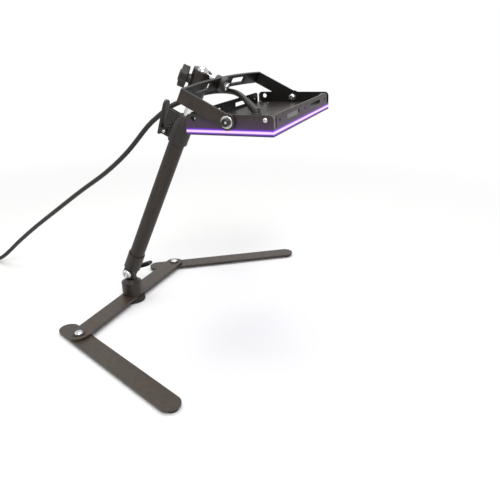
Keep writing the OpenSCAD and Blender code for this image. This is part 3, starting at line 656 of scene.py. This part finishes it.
def mains_lead():
    """The lead as one smooth curve through its run, its coil and its tail."""
    coil = [coil_point(i / COIL_POINTS) for i in range(1, int(COIL_TURNS * COIL_POINTS) + 1)]
    route = [Vector(point) * MM for point in LEAD_RUN + coil + LEAD_TAIL]
    data = bpy.data.curves.new("mains_lead", "CURVE")
    data.dimensions = "3D"
    data.bevel_depth = LEAD_D / 2 * MM
    data.bevel_resolution = 5
    data.resolution_u = 5
    data.use_fill_caps = True
    line = data.splines.new("BEZIER")
    line.bezier_points.add(len(route) - 1)
    for i, knot in enumerate(line.bezier_points):
        ahead = route[min(i + 1, len(route) - 1)]
        behind = route[max(i - 1, 0)]
        knot.co = route[i]
        knot.handle_left_type = "FREE"
        knot.handle_right_type = "FREE"
        knot.handle_left = route[i] - (ahead - behind) / 6
        knot.handle_right = route[i] + (ahead - behind) / 6
    data.materials.append(lead_pvc)
    return dress(linked("mains_lead", data), "base", ("power_cord", "cord_coil", "cord_tail"))


def coil_tie():
    """A tie round the coil: a flat strap, its square head and the lip of the head's slot."""
    outer = TIE_HALF + TIE_T
    strap = bmesh.new()
    bmesh.ops.create_cube(strap, size=1.0, matrix=Matrix.Diagonal((2 * outer, TIE_W, 2 * outer, 1)))
    ends = [face for face in strap.faces if abs(face.normal.y) > 0.9]
    bmesh.ops.inset_region(strap, faces=ends, thickness=TIE_T, use_even_offset=True)
    bmesh.ops.delete(strap, geom=ends, context="FACES")
    gaps = [edge for edge in strap.edges if edge.is_boundary]
    bmesh.ops.bridge_loops(strap, edges=gaps)
    corners = [
        edge for edge in strap.edges
        if abs(edge.verts[0].co.y - edge.verts[1].co.y) > TIE_W / 2]
    bmesh.ops.bevel(
        strap, geom=corners, offset=TIE_CORNER_R, segments=5, profile=0.5, affect="EDGES",
        clamp_overlap=True, material=-1)
    bmesh.ops.recalc_face_normals(strap, faces=strap.faces)
    head = block(3.4, TIE_W + 2.4, 6.5, 0.6)
    slot_lip = block(1.2, TIE_W - 0.5, 3.0, 0.3)
    whole = joined(
        (strap, HERE), (head, at(outer + 1.2, 0, -1.0)), (slot_lip, at(outer + 3.0, 0, -1.0)))
    middle = at(COIL_AT[0] + COIL_R, COIL_AT[1], COIL_Z - 0.2)
    return piece("coil_tie_strap", whole, BASE @ middle, "base", nylon_black, "black_plastic", "coil_tie")


def mains_plug():
    """A moulded two-pin plug: a waisted grip with ribs for the fingers."""
    body = bmesh.new()
    bmesh.ops.create_cube(body, size=1.0, matrix=Matrix.Diagonal((PLUG_W, PLUG_L, PLUG_H, 1)))
    bmesh.ops.subdivide_edges(
        body, edges=[e for e in body.edges if abs(e.verts[0].co.y - e.verts[1].co.y) > 1],
        cuts=9, use_grid_fill=True)
    for point in body.verts:
        back = (point.co.y + PLUG_L / 2) / PLUG_L
        taper = 1.0 - PLUG_TAPER * max(0.0, back - 0.45) ** 1.2
        point.co.x *= taper - PLUG_WAIST * math.sin(math.pi * min(1.0, back * 1.3))
        point.co.z *= 1.0 - PLUG_THINNING * max(0.0, back - 0.55)
    sides = [e for e in body.edges if e.calc_face_angle(0) > math.radians(40)]
    bmesh.ops.bevel(
        body, geom=sides, offset=PLUG_EDGE_R, segments=5, profile=0.5, affect="EDGES",
        clamp_overlap=True, material=-1)
    grips = [
        (block(PLUG_W - 6.4, 1.3, PLUG_H - 0.9, 0.5), at(0, -2.0 + 4.0 * i, 0)) for i in range(3)]
    whole = joined((body, HERE), *grips)
    middle = at(PLUG_AT[0], PLUG_AT[1] - PLUG_L / 2, PLUG_AT[2])
    return piece("mains_plug", whole, BASE @ middle, "base", plug_pvc, "black_plastic", "plug_body")


def plug_relief():
    """A tapered, ribbed boot where the lead goes into the plug."""
    profile = [(BOOT_BORE_R, -1.0), (5.6, -1.0), (5.5, 1.0)]
    for i in range(5):
        start = 1.0 + 3.2 * i
        radius = 5.4 - 0.28 * i
        profile += [(radius, start + 0.4), (radius, start + 2.0)]
        profile += [(radius - BOOT_RIB, start + 2.2), (radius - BOOT_RIB, start + 3.0)]
    profile += [(3.9, BOOT_L), (BOOT_BORE_R, BOOT_L)]
    boot = lathe(profile, 40, loop=True)
    middle = at(*PLUG_AT, ALONG_Y)
    return piece("plug_boot", boot, BASE @ middle, "base", plug_pvc, "black_plastic")


def plug_pins():
    """Two round pins with domed tips, each in an insulating sleeve by the plug's face."""
    pin = lathe(
        [(0, 0), (PIN_D / 2, 0), (PIN_D / 2, PIN_L - 1.6), (1.7, PIN_L - 0.4), (0.9, PIN_L), (0, PIN_L)],
        32)
    sleeve = lathe(
        [(1.5, 0), (SLEEVE_R, 0), (SLEEVE_R, 9.4), (2.2, SLEEVE_L), (1.5, SLEEVE_L)], 32, loop=True)
    across = [at(side * PIN_PITCH / 2, 0, 0) for side in (-1, 1)]
    front = BASE @ at(PLUG_AT[0], PLUG_AT[1] - PLUG_L, PLUG_AT[2], BACK_Y)
    return (
        piece("plug_pins_bright", repeated(pin, across), front, "base", nickel, "zinc", "plug_pins"),
        piece("pin_sleeves", repeated(sleeve, across), front, "base", plug_pvc, "black_plastic"))


def gland_boot():
    """Strain relief on the plate: a low collar, then a leaning, tapered sleeve with shallow ribs."""
    collar = lathe(
        [(0, -0.2), (6.6, -0.2), (6.6, 1.0), (6.2, 1.6), (5.4, 2.0), (0, 2.0)], 48, round_by=0.25)
    lead_r = LEAD_D / 2
    profile = [(lead_r, -1.5), (5.0, -1.5), (GLAND_R, 1.0)]
    for i in range(5):
        start = 2.0 + 3.5 * i
        radius = 5.05 - 0.2 * i
        profile += [(radius, start), (radius - 0.05, start + 2.2), (radius - 0.35, start + 2.5)]
        profile += [(radius - 0.4, start + 3.2)]
    profile += [(4.05, GLAND_L - 1.0), (3.85, GLAND_L + 1.4), (lead_r, GLAND_L + 1.4)]
    sleeve = lathe(profile, 40, loop=True)
    turn = (
        Matrix.Rotation(math.radians(-GLAND_TURN), 4, "Z")
        @ Matrix.Rotation(math.radians(-GLAND_LEAN), 4, "Y"))
    knuckle = bmesh.new()
    bmesh.ops.create_icosphere(knuckle, subdivisions=3, radius=GLAND_R)
    root = at(GLAND_AT[0], GLAND_AT[1], PLATE_TOP)
    whole = joined(
        (collar, root), (sleeve, root @ at(0, 0, 3.0, turn)),
        (knuckle, root @ at(0, 0, 2.4) @ Matrix.Diagonal((1, 1, 0.9, 1))))
    piece("lamp_strain_relief", whole, LAMP, "lamp", plug_pvc, "black_plastic", "cable_gland")


lead = mains_lead()
tie = coil_tie()
plug = mains_plug()
boot = plug_relief()
pins, sleeves = plug_pins()
gland_boot()


# Folding base

def base_strips():
    """The bar and both legs: blanked steel strip with its edges broken under the coat."""
    for name, node, body in (
            ("bar_strip", "cross_bar", "base"), ("near_leg_strip", "leg_near", "near_leg"),
            ("far_leg_strip", "leg_far", "far_leg")):
        rounded(name, node, body, powder_coat, "black_strip", STRIP_EDGE)


def rivet_profile():
    """A domed rivet head with a flat rim, and its flared tail under the leg."""
    radius = RIVET_D / 2
    angles = [math.radians(90 * i / 8) for i in range(8)]
    tail = [(0, 2.5), (4.4, 2.5), (5.5, 3.2), (5.5, LEG_Z), (3, LEG_Z), (3, WASHER_TOP)]
    rim = [(radius - 0.25, WASHER_TOP), (radius, WASHER_TOP + 0.25)]
    dome = [
        (radius * math.cos(a), WASHER_TOP + 0.5 + (RIVET_H - 0.5) * math.sin(a)) for a in angles]
    return tail + rim + dome + [(0, WASHER_TOP + RIVET_H)]


def base_fasteners():
    """Rivets in cupped black washers, where the legs turn on the bar."""
    ends = [at(0, side * RIVET_Y, 0) for side in (-1, 1)]
    piece("domed_rivets", repeated(lathe(rivet_profile(), 56), ends), BASE, "base", zinc, "zinc",
          "leg_rivets")
    cup = lathe(
        [(BORE_R, BAR_TOP), (8.5, BAR_TOP), (8.5, BAR_TOP + 0.5), (8.1, WASHER_TOP + 0.35),
         (7.4, WASHER_TOP + 0.45), (6.5, WASHER_TOP), (BORE_R, WASHER_TOP)], loop=True,
        round_by=0.12)
    piece("cupped_washers", repeated(cup, ends), BASE, "base", enamel, "black_paint", "rivet_washers")


def rubber_feet():
    """Pressed-on feet with a lip against the strip and a hollow tread."""
    radius = FOOT_D / 2
    foot = lathe(
        [(0, 0.5), (radius - 3.2, 0.5), (radius - 2.4, 0), (radius - 1.2, 0), (radius - 0.7, 0.5),
         (radius - 0.4, 2.2), (radius - 0.4, 2.8), (radius, 3.1), (radius, FOOT_H), (0, FOOT_H)],
        56, round_by=0.15)
    spots = [PAD_TAIL_X, PAD_FRONT_X]
    for name, body, node, leg in (
            ("near_leg_feet", "near_leg", "foot_pads_near", NEAR_LEG),
            ("far_leg_feet", "far_leg", "foot_pads_far", FAR_LEG)):
        pair = repeated(foot.copy(), [leg @ at(x, 0, 0) for x in spots])
        piece(name, pair, BASE, body, rubber, "rubber", node)
    foot.free()
    radius = CENTRE_FOOT_D / 2
    disc = lathe(
        [(0, 0.8), (radius - 6, 0.8), (radius - 5, 0), (radius - 1, 0), (radius, 1.0),
         (radius, 4.6), (radius - 0.8, 5.0), (radius - 0.8, 5.6), (radius, 6.0), (radius, 7.4),
         (radius - 0.6, BAR_Z), (7.0, BAR_Z), (7.0, BAR_Z - 3.6), (0, BAR_Z - 3.6)], 72, round_by=0.2)
    piece("centre_foot_disc", disc, BASE, "base", rubber, "rubber", "centre_foot")


base_strips()
base_fasteners()
rubber_feet()
refinish("leg_washers", nylon_white)
refinish("post_screw", zinc)


# Post and tilt hinge

def bar_wave(angle, half, end):
    """Scales a circle of radius half to a bar with round ends of radius end and a thick middle."""
    along = abs(math.cos(angle))
    across = abs(math.sin(angle))
    tip = half - end
    inside = end * end - tip * tip * across * across
    reach = tip * along + math.sqrt(inside) if inside > 0 else end / across
    return min(reach, half) / half


def tilt_hinge():
    """Cast socket and forked collar, the cap screw through both and the winged knob on its end."""
    rounded("post_casting", "post_socket", "post", enamel, "black_paint", 0.6, 3)
    rounded("collar_casting", "tube_collar", "pole", enamel, "black_paint", 0.5, 3)
    head_r = BOLT_HEAD_D / 2
    head = lathe(
        [(0, 1.2), (2.5, 1.2), (2.7, BOLT_HEAD_H - 0.3), (3.1, BOLT_HEAD_H), (4.4, 3.85), (5.7, 3.3),
         (head_r - 0.8, 2.4), (head_r - 0.1, 1.2), (head_r, 0.6), (head_r, 0), (3, 0),
         (3, 0.4 - BOLT_L), (2.5, -BOLT_L), (0, -BOLT_L)])
    across = at(0, BOSS_Y, 0, BACK_Y)
    piece("cap_screw", head, POLE @ across, "pole", zinc, "zinc", "hinge_bolt")
    grip = plate(
        96, KNOB_BAR_L / 2, KNOB_BAR_T, wave=lambda a: bar_wave(a, KNOB_BAR_L / 2, KNOB_BAR_W / 2),
        round_by=1.2, segments=4)
    hub = plate(
        72, KNOB_HUB_R, KNOB_HUB_L + 0.5, wave=lambda a: 0.975 + 0.025 * math.cos(12 * a),
        round_by=0.35)
    collar = lathe(
        [(BORE_R, -0.05), (7.2, -0.05), (7.2, 1.4), (6.2, 2.0), (BORE_R, 2.0)], 48, loop=True,
        round_by=0.2)
    cap = lathe([(0, 0), (3.2, 0), (3.0, 0.5), (0, 0.7)], 32)
    root = at(0, KNOB_Y, 0, ALONG_Y)
    spin = Matrix.Rotation(math.radians(-KNOB_TURN), 4, "Y")
    whole = joined(
        (hub, root), (collar, root), (grip, at(0, KNOB_Y + KNOB_HUB_L, 0, spin @ ALONG_Y)),
        (cap, at(0, KNOB_Y + KNOB_HUB_L + KNOB_BAR_T - 0.1, 0, ALONG_Y)))
    piece("wing_knob_moulding", whole, POLE, "tilt_knob", nylon_black, "black_plastic", "wing_knob")


tilt_hinge()


# Telescopic pole and its lock

def pole_parts():
    """Drawn tube, bright sliding rod, lock collar with its flip lever and screws."""
    rounded("drawn_tube", "lower_tube", "pole", anodised, "black_strip", 0.25)
    rounded("lock_collar_moulding", "lock_collar", "pole", nylon_grey, "black_plastic", 0.45)
    rounded("flip_lever", "lock_lever", "lever", nylon_grey, "grey_plastic", 0.6, 3)
    rod = lathe(
        [(ROD_BORE_R, ROD_LOW), (ROD_R, ROD_LOW), (ROD_R, ROD_TOP), (ROD_BORE_R, ROD_TOP)],
        loop=True, round_by=0.3)
    piece("sliding_rod", rod, POLE, "rod", turned_steel, "zinc", "inner_rod")
    socket_head = lathe(
        [(0, 0.9), (1.1, 0.9), (1.1, 2.1), (1.9, 2.1), (2.3, 1.8), (2.35, 0), (1.45, 0),
         (1.45, -4.1), (0, -4.1)], 32)
    sides = [
        at(CLAMP_X, sign * CLAMP_Y, height, turn)
        for height in CLAMP_TS for sign, turn in ((1, ALONG_Y), (-1, BACK_Y))]
    piece("clamp_cap_screws", repeated(socket_head, sides), POLE, "pole", black_oxide,
          "black_paint", "clamp_screws")
    pin = lathe(
        [(0, -LOCK_PIN_HALF), (1.6, -LOCK_PIN_HALF), (LOCK_PIN_R, -6.9), (LOCK_PIN_R, 6.9),
         (1.6, LOCK_PIN_HALF), (0, LOCK_PIN_HALF)], 32)
    piece("lever_pin_bright", pin, POLE @ at(LOCK_PIN_X, 0, LOCK_PIN_T, ALONG_Y), "pole", zinc, "zinc",
          "lever_pin")


pole_parts()
refinish("tube_bush", nylon_black)
refinish("rod_stop", nylon_black)


# Ball head and the star knob that locks it

def ball_head():
    """Cast cup, the lobed knob on its side, the chromed ball and the stem."""
    rounded("ball_cup", "ball_head_body", "head", enamel, "black_paint", 0.7, 3)
    knob = plate(
        120, STAR_D / 2, STAR_DEEP, wave=lambda a: 0.905 + 0.095 * math.cos(STAR_LOBES * a),
        round_by=1.1, segments=3)
    rim = lathe(
        [(0, 0), (7.2, 0), (7.2, 1.2), (6.2, 1.6), (5.4, 0.8), (0, 0.6)], 48, round_by=0.2)
    collar = lathe([(3.0, 0), (6.0, 0), (5.4, 2.4), (4.4, 2.8), (3.0, 2.8)], 48, loop=True,
                   round_by=0.25)
    whole = joined(
        (knob, at(STAR_X - STAR_DEEP, 0, STAR_T, ALONG_X)),
        (rim, at(STAR_X - STAR_DEEP, 0, STAR_T, BACK_X)),
        (collar, at(STAR_X - 0.2, 0, STAR_T, ALONG_X)))
    piece("star_knob_moulding", whole, POLE @ STAR_SPIN, "head_knob", nylon_black,
          "black_plastic", "star_knob")
    shank = [(0, 0), (2.6, 0), (THREAD_R, 0.4)]
    for i in range(11):
        start = 1.0 + THREAD_PITCH * i
        shank += [(THREAD_R, start), (THREAD_ROOT_R, start + 0.4), (THREAD_ROOT_R, start + 0.55)]
    shank += [(THREAD_R, 11.6), (0, 11.6)]
    along = at(STAR_STUD_X, 0, STAR_T, BACK_X)
    piece("knob_stud", lathe(shank, 40), POLE @ STAR_SPIN @ along, "head_knob", zinc, "zinc")
    radius = BALL_D / 2
    stem_r = STEM_D / 2
    angles = [math.radians(-90 + 158 * i / 24) for i in range(1, 25)]
    profile = [(0, -radius)] + [(radius * math.cos(a), radius * math.sin(a)) for a in angles]
    profile += [(stem_r, 8.2), (2.55, 9.2), (2.55, 16.4), (stem_r, 17.2), (stem_r, STEM_END - 0.5),
                (2.5, STEM_END), (0, STEM_END)]
    piece("chromed_ball_stem", lathe(profile, 72), STEM @ ALONG_X, "ball", chrome, "chrome",
          "ball_stem")


def knurl(angle):
    """Fine straight knurling round a nut."""
    return 0.988 + 0.012 * math.cos(36 * angle)


def stem_nuts():
    """Knurled platform under the bracket, knurled clamp nut over it and a thin hexagon nut."""
    low, high = PLATFORM_X
    deck = plate(160, BALL_D / 2, high - low, wave=knurl, round_by=0.2)
    piece("knurled_platform", deck, STEM @ at(low, 0, 0, ALONG_X), "ball", black_oxide, "machined",
          "stem_platform")
    low, high = CLAMP_NUT_X
    grip = plate(200, CLAMP_NUT_R, high - low - 0.8, wave=knurl, round_by=0.2)
    face = lathe(
        [(BORE_R, -0.05), (8.6, -0.05), (8.2, 0.85), (BORE_R, 0.85)], loop=True, round_by=0.12)
    hex_nut = plate(6, HEX_R, END_NUT_X - high, round_by=0.35)
    whole = joined((grip, at(low, 0, 0, ALONG_X)), (face, at(high - 0.85, 0, 0, ALONG_X)))
    piece("knurled_clamp_nut", whole, STEM, "ball", black_oxide, "machined", "clamp_nut")
    piece("stem_end_nut", hex_nut, STEM @ at(high, 0, 0, ALONG_X), "ball", zinc, "zinc")


ball_head()
stem_nuts()
refinish("ball_pad", nylon_white)


# Bracket and the lamp's pivots

def bracket_parts():
    """Bowed U bracket, with a socket screw, washers and a nut at each pivot."""
    # The bracket's coat carries painted shade on the faces that look in towards the lamp
    rounded("bowed_bracket", "lamp_bracket", "bracket", bracket_coat, "black_paint", 0.3)
    bolt = lathe(
        [(2.2, 1.6), (2.3, 4.3), (2.5, 4.5), (3.9, 4.5), (4.4, 4.0), (4.5, 3.4), (4.5, 0),
         (3, 0), (3, -12.4), (2.6, -12.8), (2.2, -12.8)], 48, loop=True)
    stud = lathe([(0, -12.9), (2.15, -12.9), (2.15, 2.6), (1.6, 3.0), (0, 3.1)], 32)
    washer = lathe(
        [(BORE_R, 0), (PIVOT_WASHER_R, 0), (PIVOT_WASHER_R, 0.8),
         (PIVOT_WASHER_R - 0.5, PIVOT_WASHER_T), (BORE_R, PIVOT_WASHER_T)], 56, loop=True, round_by=0.12)
    angles = [math.radians(15 * i) for i in range(6)]
    dome = [(4.4 * math.cos(a), 0.4 + 2.6 * math.sin(a)) for a in angles]
    nut = joined(
        (plate(6, HEX_R, 3.4, round_by=0.4), HERE),
        (lathe([(0, 0), (4.7, 0)] + dome + [(0, 3.0)], 40), at(0, 0, 3.3)))
    turns = [HERE, Matrix.Rotation(math.pi, 4, "Z")]
    ends = [turn @ at(0, -ARM_OUT, 0, BACK_Y) for turn in turns]
    heads = [place @ at(0, 0, PIVOT_WASHER_T) for place in ends]
    inner = [turn @ at(0, -LAMP_L / 2 + SHEET_T, 0, ALONG_Y) for turn in turns]
    piece("pivot_cap_screws", repeated(bolt, heads), LAMP, "bracket", enamel, "black_paint",
          "pivot_bolts")
    bright = joined((repeated(washer, ends), HERE), (repeated(stud, heads), HERE))
    piece("pivot_bright_washers", bright, LAMP, "bracket", zinc, "zinc", "pivot_washers")
    piece("pivot_lock_nuts", repeated(nut, inner), LAMP, "bracket", zinc, "zinc", "pivot_nuts")


bracket_parts()
refinish("friction_washers", nylon_white)


# Lamp

def lamp_body():
    """Folded tray, lit cover and the thin frame that holds it."""
    # The tray's coat carries painted shade on its inner faces and painted violet light on its outer ones
    rounded("folded_tray", "lamp_tray", "lamp", tray_coat, "grey_plate", 0.35)
    rounded("cover_window", "lens_cover", "lamp", lit_acrylic, "lit_cover", 0.25)
    # The frame carries painted violet light along its upper edge
    rounded("cover_frame", "bezel_frame", "lamp", lit_coat, "black_paint", 0.4)
    head = [
        (0, 0.9), (0.8, 0.9), (0.9, 1.9), (1.7, 1.7), (2.4, 1.1), (2.8, 0.3), (2.8, 0), (2, 0),
        (2, -4.4), (0, -4.4)]
    x, z = TAB_SCREW
    places = [at(x, -LAMP_L / 2, z, BACK_Y), at(x, LAMP_L / 2, z, ALONG_Y)]
    nuts = [at(x, -LAMP_L / 2 + SHEET_T, z, ALONG_Y), at(x, LAMP_L / 2 - SHEET_T, z, BACK_Y)]
    tabs = repeated(lathe(head, 36), places)
    backs = repeated(plate(6, 3.8, 2.6, round_by=0.25), nuts)
    whole = joined((tabs, HERE), (backs, HERE))
    piece("flange_button_screws", whole, LAMP, "lamp", zinc, "zinc", "flange_screws")
    screw = lathe(
        [(0, 0.7), (0.9, 0.7), (1.0, 1.6), (1.8, 1.4), (2.6, 0.6), (2.75, 0), (1.45, 0), (1.45, -3.8),
         (0, -3.8)], 32)
    spots = [
        at(sx * BOARD_SCREW[0], sy * BOARD_SCREW[1], PLATE_TOP) for sx in (-1, 1) for sy in (-1, 1)]
    piece("board_button_screws", repeated(screw, spots), LAMP, "lamp", black_oxide, "black_paint",
          "board_screws")
    low = lathe(
        [(0, 0.6), (1.1, 0.6), (1.2, 0), (2.3, 0), (2.6, 0.4), (2.6, 1.6), (1.45, 1.6), (1.45, 9.9),
         (0, 9.9)], 32)
    corners = [
        at(sx * (LAMP_W - RIM_W) / 2, sy * (LAMP_L - RIM_W) / 2, BEZEL_LOW)
        for sx in (-1, 1) for sy in (-1, 1)]
    piece("frame_screws", repeated(low, corners), LAMP, "lamp", zinc, "zinc", "bezel_screws")


def chip_spots():
    """Where the chips sit, in rows and columns that leave room for the board's screws."""
    across = (LAMP_W - 2 * RIM_W - CHIP_MARGIN[0]) / CHIP_ROWS
    along = (LAMP_L - 2 * RIM_W - CHIP_MARGIN[1]) / CHIP_COLUMNS
    for i in range(CHIP_ROWS):
        for j in range(CHIP_COLUMNS):
            x = (i - (CHIP_ROWS - 1) / 2) * across
            y = (j - (CHIP_COLUMNS - 1) / 2) * along
            if math.hypot(abs(x) - BOARD_SCREW[0], abs(y) - BOARD_SCREW[1]) > CHIP_S:
                yield x, y


def lamp_board():
    """White board, and chips whose low domes stand in square frames."""
    rounded("white_board", "led_board", "lamp", board_mask, "board_white", 0.12)
    spots = list(chip_spots())
    frame_shape = bmesh.new()
    bmesh.ops.create_cube(frame_shape, size=1.0, matrix=Matrix.Diagonal((CHIP_S, CHIP_S, 1.0, 1)))
    low = [face for face in frame_shape.faces if face.normal.z < -0.9]
    bmesh.ops.inset_region(frame_shape, faces=low, thickness=0.5)
    bmesh.ops.translate(frame_shape, verts=list(low[0].verts), vec=(0, 0, 0.3))
    soften(frame_shape, 0.12, 1)
    places = [at(x, y, CHIP_LOW + 0.5) for x, y in spots]
    piece("chip_frames", repeated(frame_shape, places), LAMP, "lamp", nylon_white, "chip", "led_chips")
    dome = lathe([(0, -0.62), (0.9, -0.52), (1.6, -0.2), (1.9, 0.15), (0, 0.2)], 12)
    beads = [at(x, y, CHIP_LOW + 0.45) for x, y in spots]
    piece("chip_domes", repeated(dome, beads), LAMP, "lamp", lit_silicone, "chip")


lamp_body()
lamp_board()


# Studio: a pale floor, a white surround and soft lamps

def studio_white():
    """White for the camera and for reflections, and a moderate light for everything else."""
    world = emptied(bpy.data.worlds.new("studio"))
    path = add(world, "ShaderNodeLightPath")
    seen = add(
        world, "ShaderNodeMath",
        links={0: path.outputs["Is Camera Ray"], 1: path.outputs["Is Glossy Ray"]}, operation="MAXIMUM")
    through = add(
        world, "ShaderNodeMath",
        links={0: seen.outputs[0], 1: path.outputs["Is Transmission Ray"]}, operation="MAXIMUM")
    strength = add(
        world, "ShaderNodeMapRange",
        {"From Min": 0.0, "From Max": 1.0, "To Min": ROOM_LIGHT, "To Max": 1.0},
        {"Value": through.outputs[0]})
    shade = add(
        world, "ShaderNodeBackground", {"Color": linear("#ffffff")}, {"Strength": strength.outputs[0]})
    add(world, "ShaderNodeOutputWorld", links={"Surface": shade.outputs[0]})
    bpy.context.scene.world = world


def floor_white():
    """Pale matt paper that fades to the surround's white away from the object's shadow."""
    material = emptied(bpy.data.materials.new("pale_floor"))
    matt = add(material, "ShaderNodeBsdfDiffuse", {"Color": linear("#f4f4f3")})
    where = add(material, "ShaderNodeTexCoord")
    reach = add(
        material, "ShaderNodeVectorMath", links={0: where.outputs["Object"]}, operation="LENGTH")
    far = ranged(material, reach.outputs["Value"], 0.0, 1.0, *FLOOR_FADE)
    path = add(material, "ShaderNodeLightPath")
    white = add(material, "ShaderNodeEmission", {"Color": linear("#ffffff"), "Strength": 1.0})
    amount = add(
        material, "ShaderNodeMath", links={0: far, 1: path.outputs["Is Camera Ray"]},
        operation="MULTIPLY")
    blend = add(
        material, "ShaderNodeMixShader",
        links={0: amount.outputs[0], 1: matt.outputs[0], 2: white.outputs[0]})
    add(material, "ShaderNodeOutputMaterial", links={"Surface": blend.outputs[0]})
    return material


def floor():
    """A large round floor under the object."""
    bm = bmesh.new()
    bmesh.ops.create_circle(bm, cap_ends=True, segments=96, radius=FLOOR_R)
    mesh = bpy.data.meshes.new("floor")
    bm.to_mesh(mesh)
    bm.free()
    mesh.materials.append(floor_white())
    linked("floor", mesh)


def soft_lamp(name, place, target, size, watts):
    """A square soft box aimed at a point."""
    data = bpy.data.lights.new(name, "AREA")
    data.shape = "SQUARE"
    data.size = size
    data.energy = watts
    made = linked(name, data)
    made.location = place
    aim = Vector(target) - Vector(place)
    made.rotation_euler = aim.to_track_quat("-Z", "Y").to_euler()


studio_white()
floor()
soft_lamp("key_lamp", (0.9, -1.1, 1.5), (0.05, 0, 0.15), 0.8, 21)
soft_lamp("fill_lamp", (-1.2, -0.8, 1.2), (0.05, 0, 0.2), 1.1, 4)
soft_lamp("top_lamp", (0.1, 0.3, 1.8), (0.05, 0, 0.1), 1.2, 17)
bpy.context.scene.view_settings.view_transform = "Standard"
